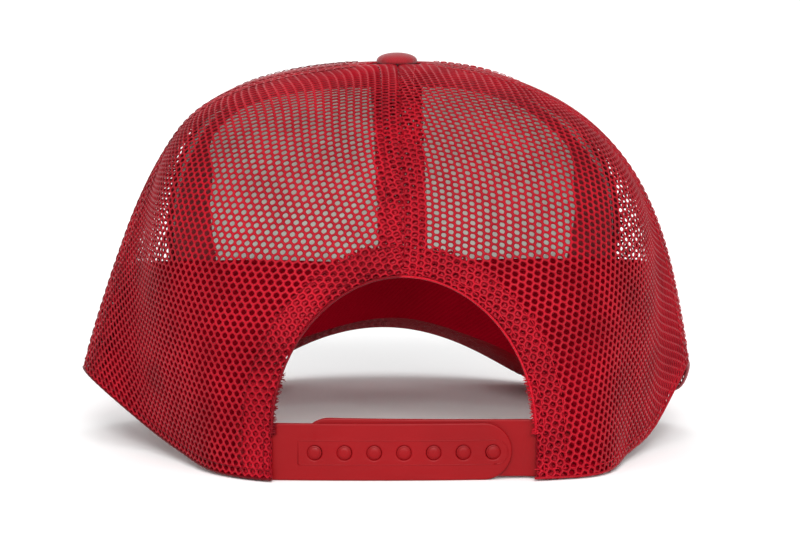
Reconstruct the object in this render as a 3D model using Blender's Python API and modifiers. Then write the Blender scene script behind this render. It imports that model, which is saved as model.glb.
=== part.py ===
"""Mesh trucker cap, open at the back over a snap strap, resting on a table.

Axes: +Z up from the table, +Y towards the back of the cap, -Y towards the tip of the visor.
Lengths in the constants are millimetres. Azimuths are degrees round the crown from its back, towards +X.
The cap is laid out round its visor's plane of symmetry, and moved at the end to stand centred on the origin.
"""

import math

import bmesh
import bpy
from mathutils import Matrix, Vector

MM = 0.001
CENTRING = Vector((-3.2, -0.9, 0))

# Crown. A row of HEM is azimuth, radius and height above the table of the crown's lower edge.
# A row of SHOULDER is azimuth, radius of the plan at shoulder height, and the share of it that the flat top has.
# The crown is soft, so its two sides differ.
CROWN_CENTRE_Y = 27.5
CROWN_TOP = 128.2
HEM = (
    (-180, 73, 32),
    (-152, 78, 23),
    (-125, 85, 9),
    (-104, 101.5, 12),
    (-88, 100, 25.5),
    (-72, 91, 8),
    (-55, 91.5, 2.7),
    (-38, 101, 0.4),
    (-28, 97.5, 0.4),
    (0, 84, 0.4),
    (28, 96.5, 0.4),
    (38, 94.5, 0.6),
    (55, 87.5, 3.8),
    (72, 89.5, 10),
    (88, 105, 23.5),
    (104, 104, 20),
    (125, 88.5, 12),
    (152, 78, 24),
    (180, 73, 32),
)
SHOULDER = (
    (-180, 71, 0.80),
    (-120, 92, 0.87),
    (-90, 89, 0.80),
    (-60, 98.5, 0.91),
    (0, 76, 0.70),
    (60, 100, 0.90),
    (90, 86, 0.84),
    (120, 89, 0.86),
    (180, 71, 0.80),
)
SHOULDER_HEIGHT_SHARE = 0.70
# The soft crown has settled a little to one side: rows are the rise from hem to button, and the shift to +X.
LEAN = ((0, 0.9), (0.35, 0.8), (0.7, 4.6), (1, 0))

# Seams between the gores: rows are the rise from hem to button, and the azimuth of the seam.
SIDE_SEAM = ((0, 88), (0.45, 80), (1, 60))
FRONT_SEAM = ((0, 123), (0.45, 112), (1, 120))
GORE_GAP = 0.4
GORE_TOP_RISE = 0.975
SEAM_BAND_WIDTH = 15
SEAM_BAND_TOP_RISE = 0.95
SEAM_BAND_BOTTOM_RISE = 0.01
TAPE_BOTTOM_RISE = 0.02
FOAM_BOTTOM_RISE = 0.01
FOAM_INSET = 1.0
# Front seam tapes: rows are the rise, the tape's width, and how far it is turned down into the crown, in degrees.
TAPE_FOLD = ((0, 18, 0), (0.26, 18, 0), (0.33, 17, 3), (0.52, 4, 72), (0.60, 3.5, 75), (1, 5, 75))

# Layers of the crown: distance of each layer's middle outwards from the crown's surface, and its thickness.
MESH_LAYER = (0.0, 1.0)
FRONT_FABRIC_LAYER = (0.1, 0.6)
FOAM_LAYER = (-1.7, 2.0)
BAND_LAYER = (-1.45, 0.6)
TAB_LAYER = (-2.85, 1.3)
TAPE_LAYER = (-3.7, 0.6)
SWEATBAND_LAYER = (-4.8, 0.8)

# Arch over the strap
ARCH_HALF_WIDTH = 42.5
ARCH_HEIGHT = 49.3
ARCH_SPRING_Z = 15.3
ARCH_FACING_WIDTH = 10
ARCH_EDGE_CLEARANCE = 0.2
ARCH_LEG_CLEARANCE = 1.0
ARCH_CUT_FLOOR = -20
ARCH_CUT_Y = 105
CUT_HALF_DEPTH = 40

# Sweatband: rows are azimuth and height of its upper edge
SWEATBAND_TOP = ((0, 42), (40, 42), (90, 59), (130, 55), (180, 52))
SWEATBAND_START = 36
SWEATBAND_CLEARANCE = 1.0

# Snap closure
STRAP_HEIGHT = 18.5
STRAP_THICKNESS = 1.4
STRAP_GAP = 0.3
STRAP_BOW_RADIUS = 400
STRAP_BACK_Y = 112.5
STRAP_HINGE_X = 41.2
STRAP_ROOT_OVERRUN = 0.3
STRAP_TRIM_MARGIN = 2.0
FEMALE_STRAP_END_X = -34.7
MALE_STRAP_END_X = 33.0
MALE_STRAP_LIFT = 1.2
PEG_COUNT = 7
PEG_PITCH = 9.5
PEG_RADIUS = 1.6
HOLE_RADIUS = 2.35
HOLE_CUT_REACH = 5
PEG_Z = 9.0
TAB_START_X = 42.8
TAB_LENGTH = 11
TAB_HEIGHT = 17

# Visor
VISOR_HALF_WIDTH = 81
VISOR_TIP_Y = -112.5
VISOR_WIDEST_Y = -45
VISOR_SEAM_Z = 33.8
VISOR_SEAM_Y = -45.5
VISOR_SLOPE = 0.2
VISOR_ARCH = 0.0080
VISOR_ROLL = 0.025
VISOR_SEWN_RISE = 1.6
VISOR_SEWN_REACH = 17
VISOR_REST_Z = 1.5
VISOR_REST_BLEND = 6.0
VISOR_INNER_OFFSET = 1.6
VISOR_HORN_AZIMUTH = 124
VISOR_HORN_WIDTH = 2.5
VISOR_BOARD_THICKNESS = 2.0
VISOR_FABRIC_THICKNESS = 0.5
VISOR_LAYER_GAP = 0.4
VISOR_HINGE_Y = -46.5
VISOR_HINGE_Z = 36
SEAM_ALLOWANCE_HEIGHT = 10
SEAM_ALLOWANCE_HALF_ANGLE = 42

# Top button
BUTTON_RADIUS = 6.8
BUTTON_HEIGHT = 3.0
BUTTON_GAP = 0.6
BUTTON_RIM = 0.8
PRONG_HEAD_CLEARANCE = 0.4
PRONG_WASHER_RADIUS = 6.5
PRONG_WASHER_DROP = 3.6
PRONG_WASHER_THICKNESS = 0.8
PRONG_SHANK_RADIUS = 1.2

COLOURS = {
    "mesh_red": ((0.52, 0.020, 0.040, 1), 0.75, 0.0),
    "front_red": ((0.45, 0.018, 0.032, 1), 0.85, 0.0),
    "foam_grey": ((0.52, 0.47, 0.45, 1), 0.95, 0.0),
    "tape_red": ((0.20, 0.006, 0.012, 1), 0.85, 0.0),
    "band_red": ((0.16, 0.004, 0.012, 1), 0.90, 0.0),
    "strap_red": ((0.42, 0.020, 0.025, 1), 0.35, 0.0),
    "board_white": ((0.70, 0.70, 0.68, 1), 0.60, 0.0),
    "button_steel": ((0.60, 0.60, 0.60, 1), 0.35, 1.0),
}


def smooth_through(points, column, at):
    """The value at `at` of a smooth curve through rows of points, level at both ends."""
    last = len(points) - 1
    at = min(max(at, points[0][0]), points[last][0])
    slopes = [0.0] * len(points)
    for i in range(1, last):
        before = points[i][0] - points[i - 1][0]
        after = points[i + 1][0] - points[i][0]
        rise_before = (points[i][column] - points[i - 1][column]) / before
        rise_after = (points[i + 1][column] - points[i][column]) / after
        slopes[i] = (rise_before * after + rise_after * before) / (before + after)
    i = 0
    while i < last - 1 and at > points[i + 1][0]:
        i += 1
    span = points[i + 1][0] - points[i][0]
    t = (at - points[i][0]) / span
    start = (2 * t**3 - 3 * t**2 + 1) * points[i][column] + (t**3 - 2 * t**2 + t) * span * slopes[i]
    end = (3 * t**2 - 2 * t**3) * points[i + 1][column] + (t**3 - t**2) * span * slopes[i + 1]
    return start + end


def crown_point(azimuth, rise, offset=0.0):
    """A point of the crown in mm. rise runs from 0 at the hem to 1 under the button; offset is outwards."""
    if offset:
        step = 0.5
        across = crown_point(azimuth + step, rise) - crown_point(azimuth - step, rise)
        up = crown_point(azimuth, min(rise + 0.01, 1)) - crown_point(azimuth, max(rise - 0.01, 0))
        return crown_point(azimuth, rise) + up.cross(across).normalized() * offset
    turned = (azimuth + 180) % 360 - 180
    angle = math.radians(azimuth)
    radius = smooth_through(HEM, 1, turned)
    height = smooth_through(HEM, 2, turned)
    shoulder = smooth_through(SHOULDER, 1, turned)
    top = smooth_through(SHOULDER, 2, turned) * shoulder
    shoulder_z = height + SHOULDER_HEIGHT_SHARE * (CROWN_TOP - height)
    stay = 1 - rise
    r = stay**3 * radius + 3 * rise * stay**2 * shoulder + 3 * rise**2 * stay * top
    z = stay**3 * height + 3 * rise * stay**2 * shoulder_z + (3 * rise**2 * stay + rise**3) * CROWN_TOP
    lean = smooth_through(LEAN, 1, rise) * abs(math.sin(angle))
    return Vector((r * math.sin(angle) + lean, r * math.cos(angle) + CROWN_CENTRE_Y, z))


def plan_radius(azimuth, rise):
    """Distance of a crown point from the button's axis."""
    point = crown_point(azimuth, rise)
    return math.hypot(point.x, point.y - CROWN_CENTRE_Y)


def rise_at(azimuth, height):
    """The rise at which the crown passes a height, along one azimuth."""
    low, high = 0.0, 1.0
    for _ in range(24):
        middle = (low + high) / 2
        if crown_point(azimuth, middle).z < height:
            low = middle
        else:
            high = middle
    return (low + high) / 2


def back_point(x, z, offset):
    """The point of the crown's back that has this x and z."""
    azimuth = 0.0
    for _ in range(12):
        rise = rise_at(azimuth, z)
        azimuth += math.degrees((x - crown_point(azimuth, rise).x) / plan_radius(azimuth, rise))
    return crown_point(azimuth, rise_at(azimuth, z), offset)


def collection(name):
    found = bpy.data.collections.new(name)
    bpy.context.scene.collection.children.link(found)
    return found


def material(name):
    colour, roughness, metallic = COLOURS[name]
    made = bpy.data.materials.get(name) or bpy.data.materials.new(name)
    made.use_nodes = True
    shader = made.node_tree.nodes["Principled BSDF"]
    shader.inputs["Base Color"].default_value = colour
    shader.inputs["Roughness"].default_value = roughness
    shader.inputs["Metallic"].default_value = metallic
    return made


def add_object(name, mesh, material_name):
    mesh.materials.append(material(material_name))
    mesh.shade_smooth()
    mesh.set_sharp_from_angle(angle=math.radians(40))
    made = bpy.data.objects.new(name, mesh)
    PARTS.objects.link(made)
    return made


def sheet(name, place, columns, rows, thickness, material_name):
    """A grid laid on a surface, given thickness evenly to both sides. place(u, v) is in mm."""
    grid = bmesh.new()
    bmesh.ops.create_grid(grid, x_segments=columns, y_segments=rows, size=0.5)
    for vertex in grid.verts:
        vertex.co = place(vertex.co.x + 0.5, vertex.co.y + 0.5) * MM
    mesh = bpy.data.meshes.new(name)
    grid.to_mesh(mesh)
    grid.free()
    made = add_object(name, mesh, material_name)
    thicken = made.modifiers.new("thickness", "SOLIDIFY")
    thicken.thickness = thickness * MM
    thicken.offset = 0
    return made


def prism(name, outline, half_depth):
    """A closed outline of (x, z) points in mm, extruded along Y, as a mesh object to cut or trim with."""
    curve = bpy.data.curves.new(name, "CURVE")
    curve.dimensions = "2D"
    curve.fill_mode = "BOTH"
    curve.extrude = half_depth * MM
    spline = curve.splines.new("POLY")
    spline.points.add(len(outline) - 1)
    for point, (x, z) in zip(spline.points, outline):
        point.co = (x * MM, z * MM, 0, 1)
    spline.use_cyclic_u = True
    guide = bpy.data.objects.new(name + "_outline", curve)
    CUTTERS.objects.link(guide)
    mesh = bpy.data.meshes.new_from_object(guide.evaluated_get(bpy.context.evaluated_depsgraph_get()))
    bpy.data.objects.remove(guide)
    solid = bmesh.new()
    solid.from_mesh(mesh)
    bmesh.ops.remove_doubles(solid, verts=solid.verts, dist=1e-6)
    bmesh.ops.recalc_face_normals(solid, faces=solid.faces)
    solid.to_mesh(mesh)
    solid.free()
    mesh.transform(Matrix.Rotation(math.radians(90), 4, "X"))
    return cutter(name, mesh)


def cutter(name, mesh):
    made = bpy.data.objects.new(name, mesh)
    made.hide_render = True
    made.display_type = "WIRE"
    CUTTERS.objects.link(made)
    return made


def rods(name, rows, radius):
    """Round rods along Y. A row is x, z, and the y of the rod's two ends, in mm."""
    solid = bmesh.new()
    for x, z, y_low, y_high in rows:
        place = Matrix.Translation(Vector((x, (y_low + y_high) / 2, z)) * MM) @ Matrix.Rotation(math.pi / 2, 4, "X")
        bmesh.ops.create_cone(
            solid,
            cap_ends=True,
            segments=14,
            radius1=radius * MM,
            radius2=radius * MM,
            depth=(y_high - y_low) * MM,
            matrix=place,
        )
    mesh = bpy.data.meshes.new(name)
    solid.to_mesh(mesh)
    solid.free()
    return cutter(name, mesh)


def boolean(part, other, operation):
    modifier = part.modifiers.new(other.name, "BOOLEAN")
    modifier.operation = operation
    modifier.object = other
    modifier.solver = "EXACT"


def set_origin(part, point):
    """Moves the object's origin to a point in mm and leaves its mesh where it is."""
    part.data.transform(Matrix.Translation(-point * MM))
    part.location = point * MM


def edge_azimuth(azimuth, rise, distance):
    """An azimuth moved along the crown by a distance in mm."""
    return azimuth + math.degrees(distance / max(plan_radius(azimuth, rise), 1))


def gore(name, left_edge, right_edge, layer, columns, rows, material_name, inset=GORE_GAP / 2, bottom=0.0):
    """One panel of the crown between two seams. An edge is a function from the rise to an azimuth."""

    def place(u, v):
        rise = bottom + v * (GORE_TOP_RISE - bottom)
        left = edge_azimuth(left_edge(rise), rise, inset)
        right = edge_azimuth(right_edge(rise), rise, -inset)
        return crown_point(left + u * (right - left), rise, layer[0])

    return sheet(name, place, columns, rows, layer[1], material_name)


def centre_seam(rise):
    return 0.0


def side_seam(rise):
    return smooth_through(SIDE_SEAM, 1, rise)


def front_seam(rise):
    return smooth_through(FRONT_SEAM, 1, rise)


def mirrored(seam):
    return lambda rise: -seam(rise)


def around(seam):
    return lambda rise: 360 - seam(rise)


def build_crown_panels():
    arch = []
    steps = 28
    for i in range(steps + 1):
        angle = math.pi * i / steps
        arch.append((ARCH_HALF_WIDTH * math.cos(angle), ARCH_SPRING_Z + ARCH_HEIGHT * math.sin(angle)))
    arch.append((-ARCH_HALF_WIDTH, ARCH_CUT_FLOOR))
    arch.append((ARCH_HALF_WIDTH, ARCH_CUT_FLOOR))
    arch_cutter = prism("arch_cutter", arch, CUT_HALF_DEPTH)
    arch_cutter.location = (0, ARCH_CUT_Y * MM, 0)
    left = gore("rear_mesh_left", centre_seam, side_seam, MESH_LAYER, 20, 12, "mesh_red")
    right = gore("rear_mesh_right", mirrored(side_seam), centre_seam, MESH_LAYER, 20, 12, "mesh_red")
    boolean(left, arch_cutter, "DIFFERENCE")
    boolean(right, arch_cutter, "DIFFERENCE")
    gore("side_mesh_left", side_seam, front_seam, MESH_LAYER, 9, 12, "mesh_red")
    gore("side_mesh_right", mirrored(front_seam), mirrored(side_seam), MESH_LAYER, 9, 12, "mesh_red")
    gore("front_panel_fabric", front_seam, around(front_seam), FRONT_FABRIC_LAYER, 24, 12, "front_red")
    gore(
        "front_panel_foam",
        front_seam,
        around(front_seam),
        FOAM_LAYER,
        24,
        12,
        "foam_grey",
        inset=FOAM_INSET,
        bottom=FOAM_BOTTOM_RISE,
    )


def seam_strip(name, seam, width, layer, bottom, top, material_name):
    """A ribbon along a seam, narrowing where the seams meet under the button."""

    def place(u, v):
        rise = bottom + v * (top - bottom)
        azimuth = seam(rise)
        half = min(width / 2, 0.4 * plan_radius(azimuth, rise))
        return crown_point(edge_azimuth(azimuth, rise, (2 * u - 1) * half), rise, layer[0])

    return sheet(name, place, 2, 14, layer[1], material_name)


def seam_tape(name, seam, side):
    """The tape on the front panel's side of its seam. It lies flat low down and hangs down near the top."""

    def place(u, v):
        rise = TAPE_BOTTOM_RISE + v * (SEAM_BAND_TOP_RISE - TAPE_BOTTOM_RISE)
        run = u * smooth_through(TAPE_FOLD, 1, rise)
        turn = math.radians(smooth_through(TAPE_FOLD, 2, rise))
        azimuth = edge_azimuth(seam(rise), rise, side * run * math.cos(turn))
        return crown_point(azimuth, rise, TAPE_LAYER[0] - run * math.sin(turn))

    return sheet(name, place, 3, 24, TAPE_LAYER[1], "tape_red")


def build_seam_strips():
    arch_top = rise_at(0, ARCH_SPRING_Z + ARCH_HEIGHT + ARCH_FACING_WIDTH + 1)
    seam_strip("back_seam_band", centre_seam, SEAM_BAND_WIDTH, BAND_LAYER, arch_top, SEAM_BAND_TOP_RISE, "mesh_red")
    for side, seam_side in (("left", side_seam), ("right", mirrored(side_seam))):
        name = "side_seam_band_" + side
        bottom = SEAM_BAND_BOTTOM_RISE
        seam_strip(name, seam_side, SEAM_BAND_WIDTH, BAND_LAYER, bottom, SEAM_BAND_TOP_RISE, "mesh_red")
    seam_tape("front_seam_tape_left", front_seam, 1)
    seam_tape("front_seam_tape_right", mirrored(front_seam), -1)


def arch_place(along, out):
    """(x, z) at a share of the way along the arch's edge from +X to -X, and a distance out from the edge."""
    leg = ARCH_SPRING_Z - ARCH_LEG_CLEARANCE
    curve = math.pi * (ARCH_HALF_WIDTH + ARCH_HEIGHT) / 2
    run = along * (2 * leg + curve)
    if run < leg:
        return ARCH_HALF_WIDTH + out, ARCH_LEG_CLEARANCE + run
    if run > leg + curve:
        return -ARCH_HALF_WIDTH - out, ARCH_LEG_CLEARANCE + 2 * leg + curve - run
    angle = math.pi * (run - leg) / curve
    x = ARCH_HALF_WIDTH * math.cos(angle)
    z = ARCH_HEIGHT * math.sin(angle)
    normal = Vector((x / ARCH_HALF_WIDTH**2, z / ARCH_HEIGHT**2)).normalized()
    return x + out * normal.x, ARCH_SPRING_Z + z + out * normal.y


def build_arch_facing():
    def place(u, v):
        out = ARCH_EDGE_CLEARANCE + v * (ARCH_FACING_WIDTH - ARCH_EDGE_CLEARANCE)
        x, z = arch_place(u, out)
        return back_point(x, z, BAND_LAYER[0])

    sheet("arch_facing", place, 36, 2, BAND_LAYER[1], "mesh_red")


def build_sweatband():
    def place(u, v):
        azimuth = SWEATBAND_START + u * (360 - 2 * SWEATBAND_START)
        away = min(azimuth, 360 - azimuth)
        low = crown_point(azimuth, 0).z + SWEATBAND_CLEARANCE
        high = smooth_through(SWEATBAND_TOP, 1, away)
        return crown_point(azimuth, rise_at(azimuth, low + v * (high - low)), SWEATBAND_LAYER[0])

    sheet("sweatband", place, 60, 3, SWEATBAND_LAYER[1], "band_red")


def strap_middle_y(x, depth):
    """y of the middle of a strap that lies this far inside the closure's outermost face."""
    return STRAP_BACK_Y - depth - STRAP_THICKNESS / 2 - x * x / (2 * STRAP_BOW_RADIUS)


def strap_plate(name, root_x, end_x, lift, depth):
    """A bowed plate from root to rounded free end, trimmed from a slightly larger plate."""
    side = math.copysign(1, root_x - end_x)
    half = STRAP_HEIGHT / 2
    round_x = end_x + side * half
    margin = STRAP_TRIM_MARGIN

    def place(u, v):
        x = end_x - side * margin + u * (root_x + 2 * side * margin - end_x)
        return Vector((x, strap_middle_y(x, depth), lift - margin + v * (STRAP_HEIGHT + 2 * margin)))

    outline = [(root_x, lift + STRAP_HEIGHT), (root_x, lift)]
    steps = 12
    for i in range(steps + 1):
        angle = -math.pi / 2 + math.pi * i / steps
        outline.append((round_x - side * half * math.cos(angle), lift + half + half * math.sin(angle)))
    plate = sheet(name, place, 12, 1, STRAP_THICKNESS, "strap_red")
    boolean(plate, prism(name + "_outline", outline, CUT_HALF_DEPTH), "INTERSECT")
    plate.modifiers[-1].object.location = (0, STRAP_BACK_Y * MM, 0)
    return plate


def peg_positions():
    middle = (PEG_COUNT - 1) / 2
    return [(i - middle) * PEG_PITCH for i in range(PEG_COUNT)]


def build_closure():
    inner_depth = STRAP_THICKNESS + STRAP_GAP
    female = strap_plate("strap_female", STRAP_HINGE_X + STRAP_ROOT_OVERRUN, FEMALE_STRAP_END_X, 0, 0)
    holes = []
    for x in peg_positions():
        holes.append((x, PEG_Z, strap_middle_y(x, 0) - HOLE_CUT_REACH, strap_middle_y(x, 0) + HOLE_CUT_REACH))
    boolean(female, rods("strap_holes", holes, HOLE_RADIUS), "DIFFERENCE")
    set_origin(female, Vector((STRAP_HINGE_X, strap_middle_y(STRAP_HINGE_X, 0), 0)))
    male_root = -STRAP_HINGE_X - STRAP_ROOT_OVERRUN
    male = strap_plate("strap_male", male_root, MALE_STRAP_END_X, MALE_STRAP_LIFT, inner_depth)
    pegs = []
    for x in peg_positions():
        pegs.append((x, PEG_Z, strap_middle_y(x, inner_depth), strap_middle_y(x, 0) + STRAP_THICKNESS / 2))
    boolean(male, rods("strap_pegs", pegs, PEG_RADIUS), "UNION")
    set_origin(male, Vector((-STRAP_HINGE_X, strap_middle_y(STRAP_HINGE_X, inner_depth), 0)))
    for name, side in (("strap_tab_female", 1), ("strap_tab_male", -1)):
        build_tab(name, side)


def build_tab(name, side):
    """The sewn root of a strap, lying inside the crown beside the arch, with a level lower edge on the table."""

    def place(u, v):
        point = back_point(side * (TAB_START_X + u * TAB_LENGTH), TAB_HEIGHT, TAB_LAYER[0])
        return Vector((point.x, point.y, v * TAB_HEIGHT))

    sheet(name, place, 5, 1, TAB_LAYER[1], "strap_red")


def visor_height(x, y):
    """Height of the visor's middle: arched across, sloping down to the tip, its sides resting on the table."""
    above = VISOR_SEAM_Z + (y - VISOR_SEAM_Y) * VISOR_SLOPE + VISOR_ROLL * x - VISOR_ARCH * x * x - VISOR_REST_Z
    return VISOR_REST_Z + (above + math.hypot(above, VISOR_REST_BLEND)) / 2


def visor_place(across, out, offset):
    """A point of the visor. across is -1 to 1 from horn to horn, out is 0 at the crown and 1 at the edge."""
    inner = crown_point(180 - across * (180 - VISOR_HORN_AZIMUTH), 0, VISOR_INNER_OFFSET)
    horn = crown_point(math.copysign(VISOR_HORN_AZIMUTH, across), 0, VISOR_INNER_OFFSET + VISOR_HORN_WIDTH)
    horn_sine = min(abs(horn.x) / VISOR_HALF_WIDTH, 1)
    horn_angle = math.pi - math.asin(horn_sine)
    angle = abs(across) * horn_angle
    reach = VISOR_WIDEST_Y - VISOR_TIP_Y
    forward = math.cos(angle)
    if forward < 0:
        reach = (horn.y - VISOR_WIDEST_Y) / -math.cos(horn_angle)
    edge_x = math.copysign(VISOR_HALF_WIDTH * math.sin(angle), across)
    edge_y = VISOR_WIDEST_Y - reach * forward
    x = inner.x + out * (edge_x - inner.x)
    y = inner.y + out * (edge_y - inner.y)
    sewn = inner.z + VISOR_SEWN_RISE - visor_height(inner.x, inner.y)
    away = math.hypot(x - inner.x, y - inner.y)
    z = visor_height(x, y)
    upward = Vector((z - visor_height(x + 1, y), z - visor_height(x, y + 1), 1)).normalized()
    return Vector((x, y, z + sewn * math.exp(-((away / VISOR_SEWN_REACH) ** 2)))) + upward * offset


def build_visor():
    layer = VISOR_BOARD_THICKNESS / 2 + VISOR_LAYER_GAP + VISOR_FABRIC_THICKNESS / 2
    pieces = (
        ("visor_board", 0, VISOR_BOARD_THICKNESS, "board_white"),
        ("visor_upper_fabric", layer, VISOR_FABRIC_THICKNESS, "front_red"),
        ("visor_under_fabric", -layer, VISOR_FABRIC_THICKNESS, "front_red"),
    )
    for name, offset, thickness, material_name in pieces:

        def place(u, v, offset=offset):
            return visor_place(2 * u - 1, v, offset)

        made = sheet(name, place, 30, 4, thickness, material_name)
        set_origin(made, Vector((0, VISOR_HINGE_Y, VISOR_HINGE_Z)))


def build_visor_seam():
    def place(u, v):
        azimuth = 180 + (2 * u - 1) * SEAM_ALLOWANCE_HALF_ANGLE
        low = crown_point(azimuth, 0).z + SWEATBAND_CLEARANCE
        return crown_point(azimuth, rise_at(azimuth, low + v * SEAM_ALLOWANCE_HEIGHT), TAPE_LAYER[0])

    sheet("visor_seam_allowance", place, 24, 1, TAPE_LAYER[1], "tape_red")


def turned(name, profile, material_name):
    """A solid of revolution about Z. The profile holds (radius, z) in mm, from the top down the outside."""
    mesh = bpy.data.meshes.new(name)
    outline = bmesh.new()
    points = [outline.verts.new((radius * MM, 0, z * MM)) for radius, z in profile]
    for first, second in zip(points, points[1:]):
        outline.edges.new((first, second))
    outline.to_mesh(mesh)
    outline.free()
    made = add_object(name, mesh, material_name)
    made.location = (0, CROWN_CENTRE_Y * MM, 0)
    screw = made.modifiers.new("turn", "SCREW")
    screw.steps = 20
    screw.render_steps = 20
    screw.use_merge_vertices = True
    screw.merge_threshold = 1e-6
    return made


def build_button():
    foot = CROWN_TOP + BUTTON_GAP
    dome = [(0, foot + BUTTON_HEIGHT)]
    steps = 6
    for i in range(1, steps + 1):
        angle = math.pi / 2 * i / steps
        height = BUTTON_RIM + (BUTTON_HEIGHT - BUTTON_RIM) * math.cos(angle)
        dome.append((BUTTON_RADIUS * math.sin(angle), foot + height))
    dome.append((BUTTON_RADIUS, foot))
    dome.append((0, foot))
    turned("top_button", dome, "front_red")
    washer = CROWN_TOP - PRONG_WASHER_DROP
    head = foot - PRONG_HEAD_CLEARANCE
    prong = [
        (0, head),
        (PRONG_SHANK_RADIUS, head),
        (PRONG_SHANK_RADIUS, washer),
        (PRONG_WASHER_RADIUS, washer),
        (PRONG_WASHER_RADIUS, washer - PRONG_WASHER_THICKNESS),
        (0, washer - PRONG_WASHER_THICKNESS),
    ]
    turned("button_prong", prong, "button_steel")


for old in list(bpy.data.objects):
    bpy.data.objects.remove(old)
PARTS = collection("trucker_cap")
CUTTERS = collection("cutters")
build_crown_panels()
build_seam_strips()
build_arch_facing()
build_sweatband()
build_closure()
build_visor()
build_visor_seam()
build_button()
for made in list(PARTS.objects) + list(CUTTERS.objects):
    made.location += CENTRING * MM
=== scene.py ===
"""Looks of the mesh trucker cap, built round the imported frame.

Lengths are millimetres, and azimuths are degrees round the crown from its back (+Y) towards +X.
Every outline of the crown and the visor comes from the same driving sizes as the CAD solids, and is laid
out round the visor's plane of symmetry like them. CENTRING moves it onto the frame.
"""

import math

import bmesh
import bpy
import numpy as np
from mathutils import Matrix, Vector


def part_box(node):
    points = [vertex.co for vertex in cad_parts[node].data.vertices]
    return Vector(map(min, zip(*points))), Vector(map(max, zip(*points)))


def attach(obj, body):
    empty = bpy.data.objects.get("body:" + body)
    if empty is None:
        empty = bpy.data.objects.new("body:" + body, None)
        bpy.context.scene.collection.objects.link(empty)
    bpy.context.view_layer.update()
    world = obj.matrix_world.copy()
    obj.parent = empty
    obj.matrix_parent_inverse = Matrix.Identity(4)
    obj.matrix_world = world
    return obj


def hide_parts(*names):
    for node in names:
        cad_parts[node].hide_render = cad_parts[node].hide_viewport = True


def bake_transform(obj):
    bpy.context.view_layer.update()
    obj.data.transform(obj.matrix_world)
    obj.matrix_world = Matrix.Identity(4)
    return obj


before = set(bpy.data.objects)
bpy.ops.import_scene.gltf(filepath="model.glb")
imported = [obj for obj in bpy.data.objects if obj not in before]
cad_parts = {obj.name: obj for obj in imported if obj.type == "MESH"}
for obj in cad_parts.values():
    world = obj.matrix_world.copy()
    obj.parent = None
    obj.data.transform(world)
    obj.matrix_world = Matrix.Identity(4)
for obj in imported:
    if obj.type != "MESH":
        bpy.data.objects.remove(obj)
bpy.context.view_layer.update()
MM = 0.001
CENTRING = np.array((-3.2, -0.9, 0.0))

# ---------------------------------------------------------------- driving sizes shared with the CAD solids

CROWN_CENTRE_Y = 27.5
CROWN_TOP = 128.2
# azimuth, radius, height of the hem
HEM = (
    (-180, 73, 32),
    (-152, 78, 23),
    (-125, 85, 9),
    (-104, 101.5, 12),
    (-88, 100, 25.5),
    (-72, 91, 8),
    (-55, 91.5, 2.7),
    (-38, 101, 0.4),
    (-28, 97.5, 0.4),
    (0, 84, 0.4),
    (28, 96.5, 0.4),
    (38, 94.5, 0.6),
    (55, 87.5, 3.8),
    (72, 89.5, 10),
    (88, 105, 23.5),
    (104, 104, 20),
    (125, 88.5, 12),
    (152, 78, 24),
    (180, 73, 32),
)
# azimuth, radius at the shoulder, share of it at the flat top
SHOULDER = (
    (-180, 71, 0.80),
    (-120, 92, 0.87),
    (-90, 89, 0.80),
    (-60, 98.5, 0.91),
    (0, 76, 0.70),
    (60, 100, 0.90),
    (90, 86, 0.84),
    (120, 89, 0.86),
    (180, 71, 0.80),
)
SHOULDER_HEIGHT_SHARE = 0.70
LEAN = ((0, 0.9), (0.35, 0.8), (0.7, 4.6), (1, 0))
# rise, azimuth of the seam
SIDE_SEAM = ((0, 88), (0.45, 80), (1, 60))
FRONT_SEAM = ((0, 123), (0.45, 112), (1, 120))
ARCH_HALF_WIDTH = 42.5
ARCH_HEIGHT = 49.3
ARCH_SPRING_Z = 15.3
SWEATBAND_TOP = ((0, 42), (40, 42), (90, 59), (130, 55), (180, 52))
STRAP_HEIGHT = 18.5
STRAP_THICKNESS = 1.4
STRAP_GAP = 0.3
STRAP_BOW_RADIUS = 400
STRAP_BACK_Y = 112.5
FEMALE_STRAP_END_X = -34.7
MALE_STRAP_END_X = 33.0
MALE_STRAP_LIFT = 1.2
MALE_STRAP_TILT = 0.0135
STRAP_EDGE = 0.5
STRAP_ROOT_BEND = (38.5, 44.5)
STRAP_ROOT_X = 53.5
# outwards from the strap's hinge towards its root
STRAP_CUT_STEP = 2.0
PEG_COUNT = 7
PEG_PITCH = 9.5
HOLE_RADIUS = 2.35
PEG_Z = 9.0
VISOR_HALF_WIDTH = 81
VISOR_TIP_Y = -112.5
VISOR_WIDEST_Y = -45
VISOR_SEAM_Z = 33.8
VISOR_SEAM_Y = -45.5
VISOR_SLOPE = 0.2
VISOR_ARCH = 0.0080
VISOR_ROLL = 0.025
VISOR_SEWN_RISE = 1.6
VISOR_SEWN_REACH = 17
VISOR_REST_Z = 1.5
VISOR_REST_BLEND = 6.0
VISOR_INNER_OFFSET = 1.6
VISOR_HORN_AZIMUTH = 124
VISOR_HORN_WIDTH = 2.5

# ---------------------------------------------------------------- sizes of the detail

NET_PITCH = 2.8
NET_ROW = 2.0
NET_HOLE_SHARE = 0.65
BAND_HOLE_SHARE = 0.44
NET_STRAND_HEIGHT = 0.34
NET_TIE_HEIGHT = 0.22
NET_TOP_RISE = 0.965
NET_SQUEEZE = 0.8
NET_SEAM_OVERLAP = 0.25
BAND_LAYERS = (-0.85, -1.6)
BAND_HALF_WIDTH = 7.8
ARCH_BAND_WIDTH = 10.0
CROWN_WAVE = 0.35
TAPE_BOTTOM = 0.02
TAPE_TOP = 0.955
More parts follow.
